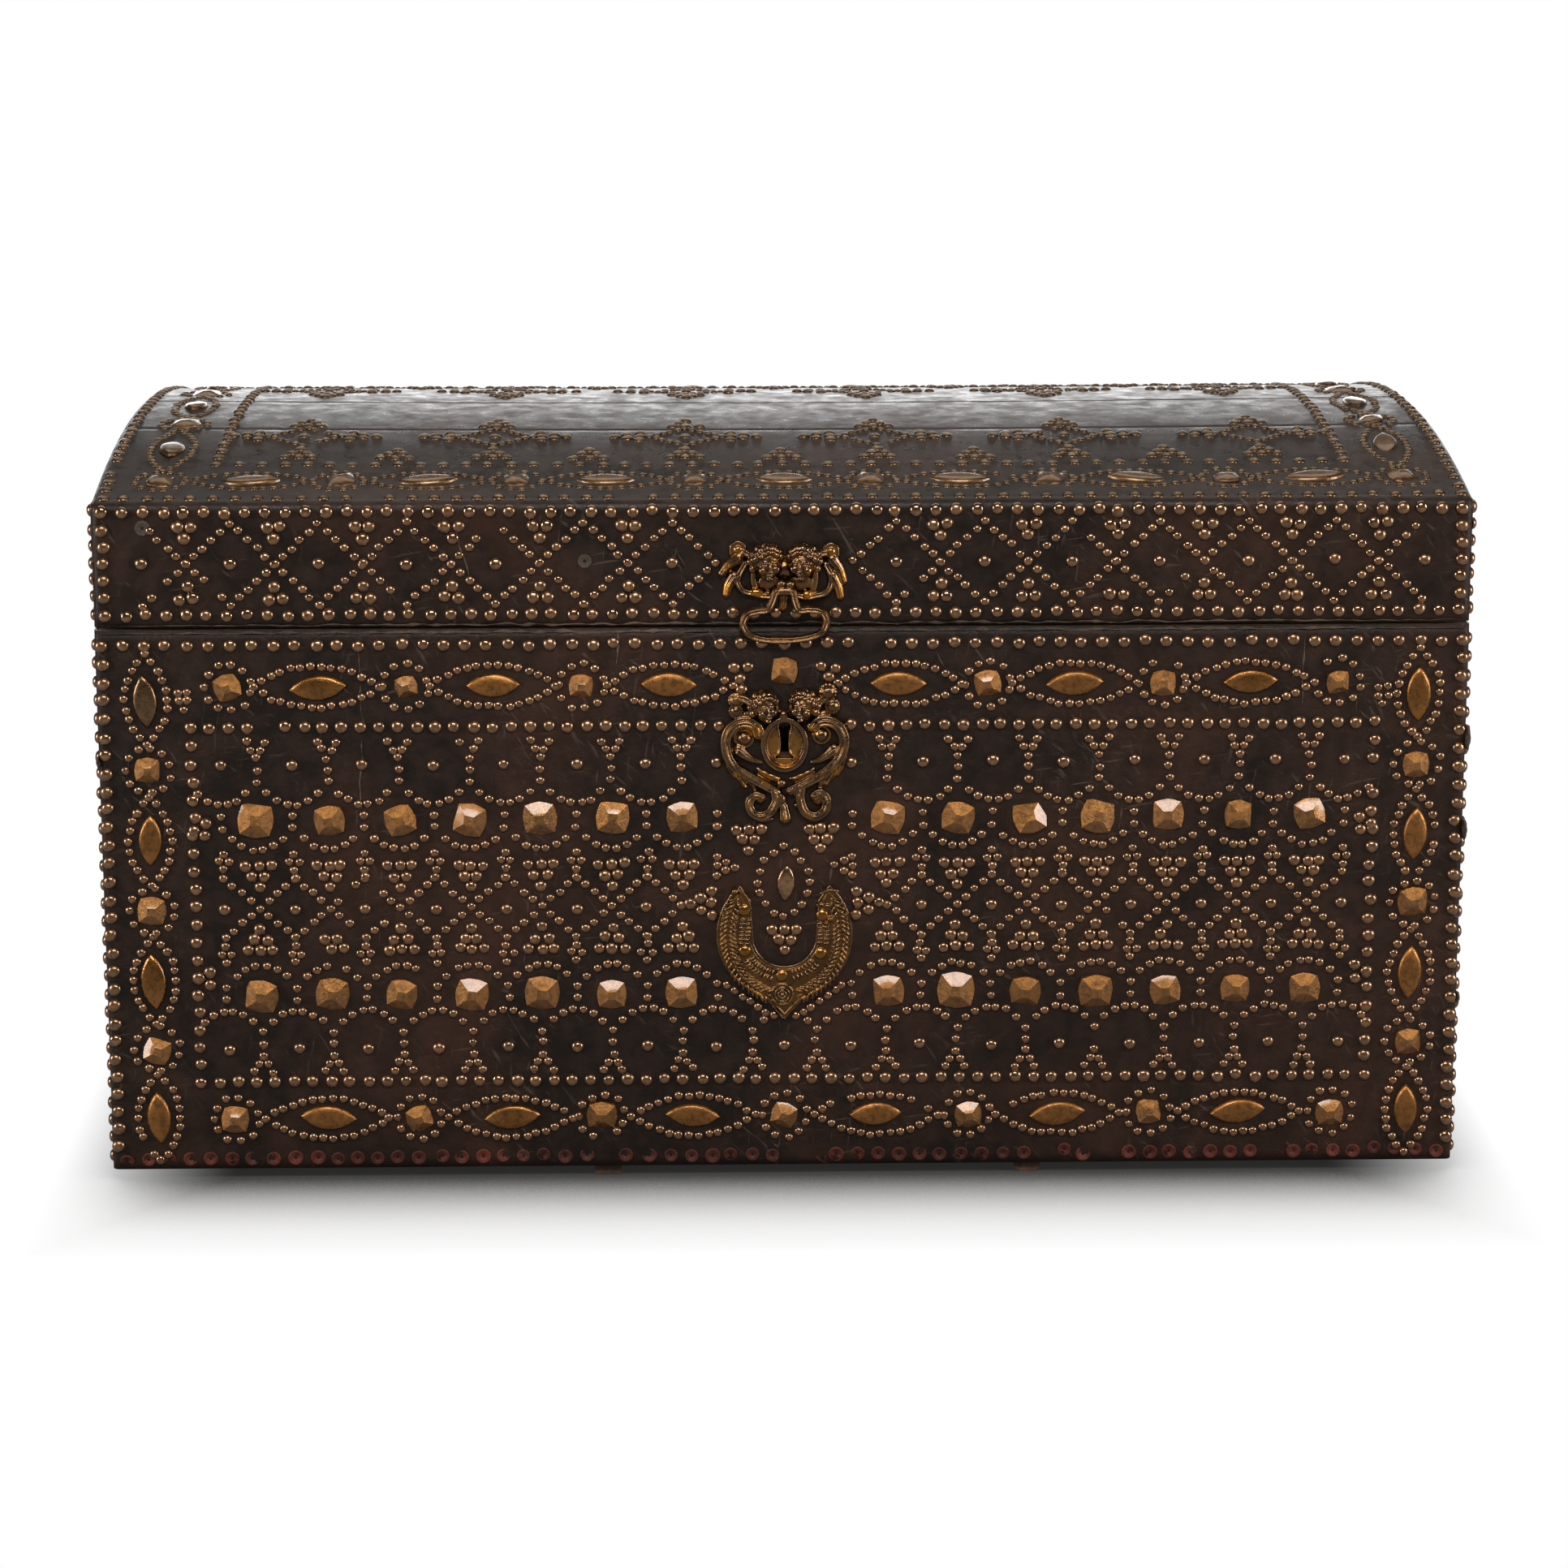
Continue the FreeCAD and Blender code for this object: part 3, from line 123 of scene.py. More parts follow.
# %% [markdown]
# Materials are node trees. A small class keeps them readable: each of its methods adds one node,
# sets or links its inputs and returns the output. An input can be a number, a colour or another
# node's output.

# %% Helpers for materials


def rgb(red, green, blue):
    """A colour with full cover."""
    return (red, green, blue, 1.0)


class Nodes:
    """Short ways to add nodes to a tree."""

    def __init__(self, tree):
        self.tree = tree

    def feed(self, node, inputs):
        """Set or link inputs of a node, by name or number."""
        for name, value in inputs.items():
            if isinstance(value, bpy.types.NodeSocket):
                self.tree.links.new(value, node.inputs[name])
            else:
                node.inputs[name].default_value = value
        return node

    def add(self, kind, inputs=None, **settings):
        """Add a node of a kind, with its settings and inputs."""
        made = self.tree.nodes.new(kind)
        for name, value in settings.items():
            setattr(made, name, value)
        return self.feed(made, inputs or {})

    def place(self, scale=(1, 1, 1)):
        """Object coordinates, stretched."""
        coords = self.add("ShaderNodeTexCoord").outputs["Object"]
        return self.add("ShaderNodeMapping", {"Vector": coords, "Scale": scale}).outputs[0]

    def speckle(self, where, scale, detail=4.0, rough=0.55, twist=0.0):
        """Fractal noise between about 0.3 and 0.7."""
        form = {"Scale": scale, "Detail": detail, "Roughness": rough, "Distortion": twist}
        return self.add("ShaderNodeTexNoise", {"Vector": where, **form}).outputs[0]

    def span(self, value, low, high, to_low=0.0, to_high=1.0):
        """Map a range to another range, clamped."""
        ends = {"From Min": low, "From Max": high, "To Min": to_low, "To Max": to_high}
        return self.add("ShaderNodeMapRange", {"Value": value, **ends}).outputs[0]

    def math(self, operation, first, second):
        """Arithmetic on two values."""
        return self.add("ShaderNodeMath", {0: first, 1: second}, operation=operation).outputs[0]

    def plus(self, first, second):
        """The sum of two values."""
        return self.math("ADD", first, second)

    def minus(self, first, second):
        """The first value less the second."""
        return self.math("SUBTRACT", first, second)

    def times(self, first, second):
        """A value weakened or masked by another."""
        return self.math("MULTIPLY", first, second)

    def larger(self, first, second):
        """The larger of two values."""
        return self.math("MAXIMUM", first, second)

    def blend(self, mask, first, second):
        """Mix two colours by a mask."""
        return self.add("ShaderNodeMix", {0: mask, 6: first, 7: second}, data_type="RGBA").outputs[2]

    def deliver(self, colour, roughness, height):
        """Hand the three results of a group to its output."""
        self.add("NodeGroupOutput", {"Color": colour, "Roughness": roughness, "Height": height})


print("helpers for materials ready")

# %% [markdown]
# A finish that several pieces share is a node group. It takes a few numbers and colours, and it puts
# out only a colour, a roughness and a height. A material then joins a group to a shader, turns the
# height into bump, and may add a thin coat of lacquer. Numbers that change over a piece, such as how
# near a point is to the crown of a nail, are read from the vertices.

# %% Groups and finishes
LACQUER_ROUGHNESS = 0.09


def new_group(name, values=(), colours=()):
    """A shader group with Color, Roughness and Height outputs."""
    tree = bpy.data.node_groups.new(name, "ShaderNodeTree")
    sockets = [(value, "INPUT", "Float") for value in values]
    sockets += [(colour, "INPUT", "Color") for colour in colours]
    sockets += [("Color", "OUTPUT", "Color"), ("Roughness", "OUTPUT", "Float"), ("Height", "OUTPUT", "Float")]
    for socket, way, kind in sockets:
        tree.interface.new_socket(socket, in_out=way, socket_type="NodeSocket" + kind)
    nodes = Nodes(tree)
    return nodes, nodes.add("NodeGroupInput").outputs


def finish_of(
    name, group, inputs, attributes=None, metallic=0.0, bump=0.5, depth=0.001, lacquer=0.0, shine=0.5
):
    """A material whose surface comes from a group; attributes of the vertices feed some of its inputs."""
    material = bpy.data.materials.new(name)
    material.use_nodes = True
    nodes = Nodes(material.node_tree)
    read = {
        key: nodes.add("ShaderNodeAttribute", attribute_name=attribute).outputs["Fac"]
        for key, attribute in (attributes or {}).items()
    }
    made = nodes.add("ShaderNodeGroup", {**inputs, **read}, node_tree=group.tree).outputs
    relief = {"Height": made["Height"], "Strength": bump, "Distance": depth}
    surface = {
        "Base Color": made["Color"],
        "Roughness": made["Roughness"],
        "Normal": nodes.add("ShaderNodeBump", relief).outputs[0],
        "Metallic": metallic,
        "Specular IOR Level": shine,
        "Coat Weight": lacquer,
        "Coat Roughness": LACQUER_ROUGHNESS,
    }
    nodes.feed(material.node_tree.nodes["Principled BSDF"], surface)
    return material


print("lacquer roughness", LACQUER_ROUGHNESS)

# %% [markdown]
# The hide is dark, oiled and handled for centuries. From a step away it has reddish patches where the
# black dye has gone, and a finer mottle. Both are noise, of two sizes, and each piece of leather says
# how red its patches are.

# %% Leather, its dye
hide, hide_in = new_group("old hide", values=("Redness", "Dust and sheen"), colours=("Dark", "Warm"))
spot = hide.place()
patches = hide.span(hide.speckle(spot, 6.0, 5.0, 0.6, 0.8), 0.42, 0.68)
mottle = hide.span(hide.speckle(spot, 55.0, 6.0, 0.65), 0.38, 0.66)
warmth = hide.plus(hide.times(patches, hide_in["Redness"]), hide.times(mottle, 0.25))
hide_colour = hide.blend(warmth, hide_in["Dark"], hide_in["Warm"])
print("dye", len(hide.tree.nodes), "nodes")

# %% [markdown]
# Pale scratches run every way, but only where the hide is worn. Noise that is stretched far along one
# direction looks like strokes, and four turned copies of it cross each other. What faces up is a little
# greyer than the walls: partly dust and rubbing, partly a painted sheen.

# %% Leather, its scratches, dust and painted sheen
SCRATCHED, DUST_AND_SHEEN = rgb(0.085, 0.06, 0.045), rgb(0.20, 0.185, 0.165)
STROKES = (
    ((30, 90, 330), (0, 0.15, 0.1)), ((330, 90, 36), (0, -0.12, 0.2)),
    ((260, 60, 30), (0, 0.55, -0.5)), ((40, 60, 240), (0, -0.7, 0.6)),
)
scratches = 0.0
for number, (stretch, turn) in enumerate(STROKES):
    turned = hide.add("ShaderNodeMapping", {"Vector": spot, "Rotation": turn}).outputs[0]
    drawn = {"Vector": turned, "Scale": stretch, "Location": (3.7 * number, 1.3 * number, 2.1)}
    drawn = hide.add("ShaderNodeMapping", drawn).outputs[0]
    strokes = hide.span(hide.speckle(drawn, 1.0, 3.0, 0.5, 0.35), 0.65, 0.73)
    scratches = hide.larger(scratches, strokes)
worn_places = hide.span(hide.speckle(spot, 13.0, 4.0), 0.44, 0.62)
scratches = hide.times(scratches, worn_places)
hide_colour = hide.blend(hide.times(scratches, 0.55), hide_colour, SCRATCHED)
facing = hide.add("ShaderNodeNewGeometry").outputs["Normal"]
facing_up = hide.add("ShaderNodeSeparateXYZ", {"Vector": facing}).outputs["Z"]
# Upward faces turn greyer: partly dust, partly a painted sheen.
dust_and_sheen = hide.times(hide.span(facing_up, 0.6, 0.98), hide_in["Dust and sheen"])
dust_and_sheen = hide.times(dust_and_sheen, hide.span(mottle, 0.0, 1.0, 0.45, 1.0))
hide_colour = hide.blend(dust_and_sheen, hide_colour, DUST_AND_SHEEN)
print("scratches and dust", len(hide.tree.nodes), "nodes so far")

# %% [markdown]
# Close up the hide has pores, fine creases and, where it is worn, a net of cracks. The net is the
# edge of bent Voronoi cells. All of these only change the height, and the top is a little smoother
# than the walls, because hands and cloths have rubbed it.

# %% Leather, its surface
wobble = hide.add("ShaderNodeTexNoise", {"Vector": spot, "Scale": 45.0}).outputs["Color"]
wobble = hide.add("ShaderNodeVectorMath", {0: wobble, "Scale": 0.016}, operation="SCALE").outputs[0]
bent = hide.add("ShaderNodeVectorMath", {0: spot, 1: wobble}).outputs[0]
cells = hide.add("ShaderNodeTexVoronoi", {"Vector": bent, "Scale": 75.0}, feature="DISTANCE_TO_EDGE")
crackle = hide.times(hide.span(cells.outputs["Distance"], 0.0, 0.07, 1.0, 0.0), worn_places)
pores = hide.add("ShaderNodeTexVoronoi", {"Vector": spot, "Scale": 520.0}).outputs["Distance"]
creases = hide.speckle(hide.place((1, 1, 1.6)), 130.0, 7.0, 0.7, 0.9)
hide_height = hide.plus(creases, hide.times(pores, 0.35))
hide_height = hide.minus(hide_height, hide.times(scratches, 0.3))
hide_height = hide.minus(hide_height, hide.times(crackle, 0.28))
polish = hide.span(facing_up, 0.85, 0.99, 0.0, 0.11)
hide_rough = hide.minus(hide.span(mottle, 0.0, 1.0, 0.38, 0.58), polish)
hide.deliver(hide_colour, hide_rough, hide_height)
OLD_SHINE = 0.22
DYED = {"Dark": rgb(0.0078, 0.0046, 0.0028), "Warm": rgb(0.046, 0.0165, 0.008), "Redness": 0.5, "Dust and sheen": 0.12}
TORN = {"Dark": rgb(0.03, 0.021, 0.016), "Warm": rgb(0.12, 0.08, 0.054), "Redness": 0.8, "Dust and sheen": 0.35}
wall_leather = finish_of("wall leather", hide, DYED, bump=0.45, depth=0.0012, shine=OLD_SHINE)
lid_leather = finish_of("lid leather", hide, DYED, bump=0.2, depth=0.001, shine=OLD_SHINE)
torn_leather = finish_of("torn leather", hide, TORN, bump=0.8, depth=0.002, shine=OLD_SHINE)
print("leather", len(hide.tree.nodes), "nodes")

# %% [markdown]
# A mesh becomes a piece of the chest in three steps: it gets its faces smoothed, a material and a body of the
# frame to ride on. One helper does all three, so that no piece is forgotten. The same helper also hides the
# nodes of the frame that the piece replaces.

# %% From mesh to piece


def as_mesh(name, bm):
    """Keep a bmesh as a mesh."""
    mesh = bpy.data.meshes.new(name)
    bm.to_mesh(mesh)
    bm.free()
    return mesh


def piece(name, bm, body, material, stands_for=(), sharp=None):
    """Finish a bmesh as an object that rides on a body and may replace CAD nodes."""
    mesh = as_mesh(name, bm)
    mesh.materials.append(material)
    mesh.shade_smooth()
    if sharp:
        mesh.set_sharp_from_angle(angle=math.radians(sharp))
    obj = in_scene(name, mesh)
    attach(obj, body)
    if stands_for:
        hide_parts(*stands_for)
    print(name, len(mesh.polygons), "faces")
    return obj


# %% [markdown]
# A sheet of hide is a grid of small quads. Four of them make the walls of a box, joined at the
# corners, where the hide is pulled over the wood and so has no sharp edge. A bevel rounds those
# corners, the slow waves of old leather move every vertex, and a solidify gives the skin its
# thickness towards the wood.

# %% Sheets of hide
QUAD = 8 * MM


def wall(bm, middle, right, up, width, height):
    """Add a flat grid of small quads."""
    out = right.cross(up)
    turn = Matrix((right, up, out)).transposed().to_4x4()
    size = Matrix.Diagonal((width, height, 1, 1))
    return bmesh.ops.create_grid(
        bm,
        x_segments=round(width / QUAD),
        y_segments=round(height / QUAD),
        size=0.5,
        matrix=Matrix.Translation(middle) @ turn @ size,
    )["verts"]


def four_walls(bm, low, high):
    """Front, right, back and left walls of a box, without a top."""
    middle, tall = (low + high) / 2, high - low
    corners = ((0, -HALF_DEPTH), (HALF_WIDTH, 0), (0, HALF_DEPTH), (-HALF_WIDTH, 0))
    for (x, y), right in zip(corners, ((1, 0), (0, 1), (-1, 0), (0, -1))):
        width = 2 * (HALF_WIDTH if x == 0 else HALF_DEPTH)
        wall(bm, Vector((x, y, middle)), Vector((*right, 0)), Vector((0, 0, 1)), width, tall)


def skin(bm, corner):
    """Join the walls, round their corners, swell them and give them the thickness of the hide."""
    bmesh.ops.remove_doubles(bm, verts=bm.verts, dist=1e-5)
    bmesh.ops.recalc_face_normals(bm, faces=bm.faces)
    folds = [edge for edge in bm.edges if len(edge.link_faces) == 2 and edge.calc_face_angle() > 0.5]
    bmesh.ops.bevel(bm, geom=folds, offset=corner, segments=3, profile=0.5, affect="EDGES", material=-1)
    bm.normal_update()
    for vert in bm.verts:
        vert.co += vert.normal * swell(vert.co)
    bmesh.ops.solidify(bm, geom=bm.faces[:], thickness=0.85 * HIDE)


def cut(bm, at, normal, **settings):
    """Cut a bmesh with a plane."""
    everything = bm.faces[:] + bm.edges[:] + bm.verts[:]
    bmesh.ops.bisect_plane(bm, geom=everything, plane_co=at, plane_no=normal, **settings)


print("sheets of quads of", QUAD / MM, "mm")

# %% [markdown]
# The case wears one such skin. A window under the keyhole plate lets the key through: two cuts with
# a plane give it edges, and the faces between them are taken out.

# %% Hide of the case
WINDOW_HALF, WINDOW_LOW, WINDOW_HIGH = 9 * MM, 350 * MM, 386 * MM
case_hide = bmesh.new()
four_walls(case_hide, CASE_FOOT, RIM)
for level in (WINDOW_LOW, WINDOW_HIGH):
    cut(case_hide, (0, 0, level), (0, 0, 1))
window = []
for face in case_hide.faces:
    middle = face.calc_center_median()
    in_window = abs(middle.x) < WINDOW_HALF and WINDOW_LOW < middle.z < WINDOW_HIGH
    if in_window and middle.y < -0.99 * HALF_DEPTH:
        window.append(face)
bmesh.ops.delete(case_hide, geom=window, context="FACES")
skin(case_hide, 4.5 * MM)
CASE_WALLS = [f"{side}_leather" for side in ("front", "back", "left", "right")]
piece("case_hide", case_hide, "case", wall_leather, CASE_WALLS)

# %% [markdown]
# The lid's hide is made the same way, with a fifth sheet over the staves. Its walls reach up to
# the arch, so each vertex of an end wall is raised in step with the arch above it. Over two
# joints of the staves the leather has cracked from end to end: three cuts with a plane give rows
# of vertices there, which are pressed in.

# %% Hide of the lid
CRACKS = (-0.094, 0.028)
CRACK_HALF, CRACK_DEPTH = 2.2 * MM, 1.5 * MM
lid_hide = bmesh.new()
four_walls(lid_hide, LID_EDGE, SKIRT_TOP)
for vert in lid_hide.verts:
    share = (vert.co.z - LID_EDGE) / (SKIRT_TOP - LID_EDGE)
    vert.co.z = LID_EDGE + share * (lid_height(vert.co.x, vert.co.y) - LID_EDGE)
right, back = Vector((1, 0, 0)), Vector((0, 1, 0))
over = wall(lid_hide, Vector((0, 0, SKIRT_TOP)), right, back, 2 * HALF_WIDTH, 2 * HALF_DEPTH)
for vert in over:
    vert.co.z = lid_height(vert.co.x, vert.co.y)
for crack in CRACKS:
    for step in (-1, 0, 1):
        cut(lid_hide, (0, crack + step * CRACK_HALF, 0), (0, 1, 0))
skin(lid_hide, 6 * MM)
for vert in lid_hide.verts:
    for crack in CRACKS:
        wander = 0.3 * CRACK_HALF * noise.noise(Vector((vert.co.x * 30, crack * 100, 0)))
        depth = max(0, 1 - abs(vert.co.y - crack - wander) / CRACK_HALF)
        open_here = 0.5 + 0.5 * noise.noise(Vector((vert.co.x * 6, crack * 70, 3)))
        if vert.normal.z > 0.8:
            vert.co.z -= CRACK_DEPTH * depth * open_here
LID_WALLS = [f"lid_{side}_leather" for side in ("top", "front", "back", "left", "right")]
piece("lid_hide", lid_hide, "lid", lid_leather, LID_WALLS)

# %% [markdown]
# Brass that is never polished turns brown in its hollows and stays bright where hands rub it. Each nail and
# boss carries two numbers on its vertices: how near the crown a point is, and the tone of that nail. The
# finish mixes rim and crown colours from them. On a nail the golden crown is partly wear and partly a painted
# reflection of the floor, and the dark rim is partly patina and partly painted shade. The finish adds specks
# and stains, and makes the most handled heads a little smoother.

# %% Brass
STAINED = rgb(0.075, 0.042, 0.022)
brass, brass_in = new_group(
    "aged brass with painted reflection and shade", values=("Crown", "Tone", "Smooth", "Rough"), colours=("Rim colour", "Crown colour")
)
spot = brass.place()
specks = brass.speckle(spot, 420.0, 5.0, 0.7)
bright = brass.plus(brass_in["Crown"], brass.span(specks, 0.35, 0.7, -0.3, 0.3))
bright = brass.times(bright, brass.span(brass_in["Tone"], 0.0, 1.0, 0.45, 1.15))
bright = brass.span(bright, 0.15, 0.85)
# Rim to crown: partly wear and patina, partly a painted reflection on the crown and painted shade at the rim.
brass_colour = brass.blend(bright, brass_in["Rim colour"], brass_in["Crown colour"])
stain = brass.span(brass.speckle(spot, 190.0, 6.0, 0.75, 0.5), 0.45, 0.63)
brass_colour = brass.blend(brass.times(stain, 0.68), brass_colour, STAINED)
handled = brass.span(brass_in["Tone"], 0.8, 1.1, 0.0, 0.16)
brass_rough = brass.span(specks, 0.3, 0.7, brass_in["Smooth"], brass_in["Rough"])
brass.deliver(brass_colour, brass.minus(brass_rough, handled), specks)
print("brass", len(brass.tree.nodes), "nodes")

# %% [markdown]
# Five kinds of brass come from that group. The nails of the walls have the thickest lacquer, which gives them
# small white highlights; those of the lid's top are dull, and their darker rims are painted shade. The bosses
# are redder and rougher. The lenses darken towards their crown and stay lighter at the rim, which is painted
# shade. The bosses of the lid have a duller brass whose darker colour is painted shade.

# %% Five kinds of brass
ON_VERTICES = {"Crown": "crown", "Tone": "tone"}


def brass_finish(name, rim, crown, smooth, rough, **surface):
    """Brass with its own colours and range of roughness."""
    inputs = {"Rim colour": rgb(*rim), "Crown colour": rgb(*crown), "Smooth": smooth, "Rough": rough}
    return finish_of(name, brass, inputs, ON_VERTICES, **surface)


nail_brass = brass_finish(
    "nail brass", (0.25, 0.125, 0.058), (0.41, 0.205, 0.082), 0.22, 0.4,
    metallic=0.95, bump=0.15, depth=0.0004, lacquer=1.0,
)
# The darker rims of the lid's top nails are painted shade.
lid_brass = brass_finish(
    "dull nail brass with painted shade", (0.13, 0.08, 0.045), (0.36, 0.225, 0.11), 0.28, 0.44,
    metallic=0.9, bump=0.15, depth=0.0004,
)
boss_brass = brass_finish(
    "boss brass", (0.36, 0.155, 0.042), (0.37, 0.17, 0.05), 0.3, 0.58,
    metallic=1.0, bump=0.75, depth=0.0009, lacquer=0.6,
)
# A lighter rim and a darker crown on each lens: painted shade.
lens_brass = brass_finish(
    "lens brass", (0.44, 0.185, 0.048), (0.30, 0.124, 0.027), 0.34, 0.5,
    metallic=1.0, bump=0.4, depth=0.0007, lacquer=0.25,
)
# Darker brass for the lid's bosses is painted shade; the tarnished lens uses it for its tarnish.
tarnish_and_shade_boss = brass_finish(
    "boss brass with tarnish and painted shade", (0.20, 0.105, 0.045), (0.24, 0.13, 0.052), 0.28, 0.44,
    metallic=1.0, bump=0.4, depth=0.0007, lacquer=0.5,
)
print(nail_brass.name, lid_brass.name, boss_brass.name, lens_brass.name, tarnish_and_shade_boss.name)

# %% [markdown]
# A nail head is a shallow dome: a quarter profile spun round its axis. There are thousands, so the
# dome has few faces and is made once for each of five sizes. The two low ones are for the lid's top,
# where the nails look lower and duller.

# %% Nail heads
dice = random.Random(1700)
BIG, MIDDLE, SMALL, LOW, LOW_SMALL = "big", "middle", "small", "low", "low small"


def spun(profile, sides):
    """Spin a profile of (radius, height) points round the upright axis."""
    bm = bmesh.new()
    verts = [bm.verts.new((radius, 0, height)) for radius, height in profile]
    edges = [bm.edges.new(pair) for pair in zip(verts, verts[1:])]
    bmesh.ops.spin(
        bm, geom=verts + edges, axis=(0, 0, 1), cent=(0, 0, 0), steps=sides, angle=math.tau, use_merge=True
    )
    bmesh.ops.remove_doubles(bm, verts=bm.verts, dist=1e-6)
    bmesh.ops.recalc_face_normals(bm, faces=bm.faces)
    return bm


def as_template(bm):
    """Keep a small bmesh as a mesh that can be stamped, with the crown of each vertex."""
    mesh = as_mesh("template", bm)
    reach = max(math.hypot(vert.co.x, vert.co.y) for vert in mesh.vertices)
    crowns = [1 - math.hypot(vert.co.x, vert.co.y) / reach for vert in mesh.vertices]
    return mesh, crowns


def nail_profile(radius, height):
    """From the edge in the leather over the dome to the crown."""
    angles = [math.radians(angle) for angle in (0, 28, 58, 90)]
    arc = [(radius * math.cos(angle), height * math.sin(angle)) for angle in angles]
    return [(radius, -0.8 * MM), *arc]


NAILS = {
    BIG: (5.5, 3.4, 12), MIDDLE: (5.2, 3.3, 12), SMALL: (4.0, 2.6, 10),
    LOW: (4.9, 2.5, 12), LOW_SMALL: (3.5, 1.9, 10),
}
TEMPLATES = {}
for kind, (radius, height, sides) in NAILS.items():
    TEMPLATES[kind] = as_template(spun(nail_profile(radius * MM, height * MM), sides))
print("templates", {kind: len(mesh.polygons) for kind, (mesh, crowns) in TEMPLATES.items()})

# %% [markdown]
# A stamp copies heads to every place, with a little tilt and a slightly different size, because nails
# were cast by hand and driven by eye. It also writes the crown and the tone on the vertices, where the
# finish reads them. All random numbers come from one seeded source.

# %% The stamp
DRIFT, LEAN, TURN, GROWTH = 0.55 * MM, 0.06, 0.1, 0.035


def stamp(name, places, body, material, jitter=1.0, sharp=None, stands_for=(), tones=(0.15, 1.0)):
    """Copy templates to many places; each place is a template's name and a matrix."""
    bm = bmesh.new()
    marks = []
    for kind, matrix in places:
        template, crowns = TEMPLATES[kind]
        drift = [dice.gauss(0, DRIFT) * jitter for axis in "XY"]
        lean_x, lean_y = [Matrix.Rotation(dice.gauss(0, LEAN) * jitter, 4, axis) for axis in "XY"]
        turn = Matrix.Rotation(dice.uniform(-TURN, TURN) * jitter, 4, "Z")
        grown = Matrix.Scale(1 + dice.gauss(0, GROWTH) * jitter, 4)
        local = matrix @ Matrix.Translation((*drift, 0)) @ lean_x @ lean_y @ turn @ grown
        template.transform(local)
        bm.from_mesh(template)
        template.transform(local.inverted())
        tone = dice.uniform(*tones)
        marks.extend((crown, tone) for crown in crowns)
    crown_layer = bm.verts.layers.float.new("crown")
    tone_layer = bm.verts.layers.float.new("tone")
    for vert, (crown, tone) in zip(bm.verts, marks):
        vert[crown_layer] = crown
        vert[tone_layer] = tone
    return piece(name, bm, body, material, stands_for, sharp)


print("a stamped head drifts by about", DRIFT / MM, "mm and leans by about", LEAN, "radians")

# %% [markdown]
# A pattern of nails is flat at first, in millimetres across and up. Two helpers put a flat place on
# the chest, one on a wall and one on the arched lid. Both follow the swelling of the hide, so that
# no nail hangs in the air or sinks.

# %% Places on the walls and the lid
FRONT_TURN = Matrix.Rotation(math.pi / 2, 4, "X")
WALLS = {"front": 0.0, "right": math.pi / 2, "back": math.pi, "left": -math.pi / 2}


def on_wall(side, x, z):
    """Matrix of a place on a wall, x to the right as seen from outside, in millimetres."""
    out = HALF_DEPTH if side in ("front", "back") else HALF_WIDTH
    flat = Vector((x * MM, -out, z * MM))
    turned = Matrix.Rotation(WALLS[side], 4, "Z")
    spot = turned @ flat
    lifted = spot + (turned @ Vector((0, -1, 0))) * swell(spot)
    return Matrix.Translation(lifted) @ turned @ FRONT_TURN


def on_lid(x, y):
    """Matrix of a place on the arched top, in millimetres."""
    x, y = x * MM, y * MM
    lean = -math.asin(y / LID_RADIUS)
    spot = Vector((x, y, lid_height(x, y)))
    return Matrix.Translation(spot + Vector((0, 0, swell(spot)))) @ Matrix.Rotation(lean, 4, "X")


print("the middle of the front is at", tuple(round(part, 3) for part in on_wall("front", 0, 230).translation))

# %% [markdown]
# The pattern is drawn as the nailer did it, with a rule and compasses. A row is divided evenly, a
# frame is four rows without double corners, and circles and almonds go round the bosses.

# %% Rows and rings of nails


def row(start, end, pitch):
    """Points along a straight line, evenly spread, both ends included."""
    start, end = Vector(start), Vector(end)
    count = max(1, round((end - start).length / pitch))
    return [tuple(start.lerp(end, step / count)) for step in range(count + 1)]


def frame_rows(left, right, low, high, pitch_across, pitch_up):
    """The four sides of a rectangle, without double corners."""
    rows = row((left, high), (right, high), pitch_across) + row((left, low), (right, low), pitch_across)
    for x in (left, right):
        rows += row((x, low), (x, high), pitch_up)[1:-1]
    return rows


def circle(x, y, radius, count):
    """Points round a centre."""
    angles = [math.tau * (step + 0.5) / count for step in range(count)]
    return [(x + radius * math.cos(a), y + radius * math.sin(a)) for a in angles]


def almond(x, y, half_long, half_wide, pitch, upright=False):
    """Points along two arcs that meet in two tips."""
    radius = (half_long**2 + half_wide**2) / (2 * half_wide)
    reach = math.asin(half_long / radius)
    count = max(3, round(2 * reach * radius / pitch))
    points = []
    for step in range(1, count):
        angle = -reach + 2 * reach * step / count
        along, aside = radius * math.sin(angle), radius * math.cos(angle) - radius + half_wide
        points += [(along, aside), (along, -aside)]
    points += [(half_long, 0), (-half_long, 0)]
    return [(x + b, y + a) if upright else (x + a, y + b) for a, b in points]


print("a row of five:", row((0, 0), (40, 0), 10))

# %% [markdown]
# Three figures fill the fields: triangles of 3, 2 and 1 nails, lozenges whose sides are rows, and
# waves that hang between two nails like a slack string.

# %% Triangles, lozenges and waves


def triangle(x, y, rows_of, pitch, step, turn=0.0):
    """Rows of 3, 2, 1 nails and the like, the first row at the place given."""
    turned = Matrix.Rotation(turn, 2)
    points = []
    for level, count in enumerate(rows_of):
        for number in range(count):
            flat = Vector(((number - (count - 1) / 2) * pitch, -level * step))
            points.append(tuple(Vector((x, y)) + turned @ flat))
    return points


def lozenge(x, y, half_wide, half_high, pitch, limit=math.inf):
    """The four sides of a lozenge, without sides that reach past a limit."""
    corners = [(x - half_wide, y), (x, y + half_high), (x + half_wide, y), (x, y - half_high)]
    points = []
    for start, end in zip(corners, corners[1:] + corners[:1]):
        if max(start[0], end[0]) < limit:
            points += row(start, end, pitch)[:-1]
    return points


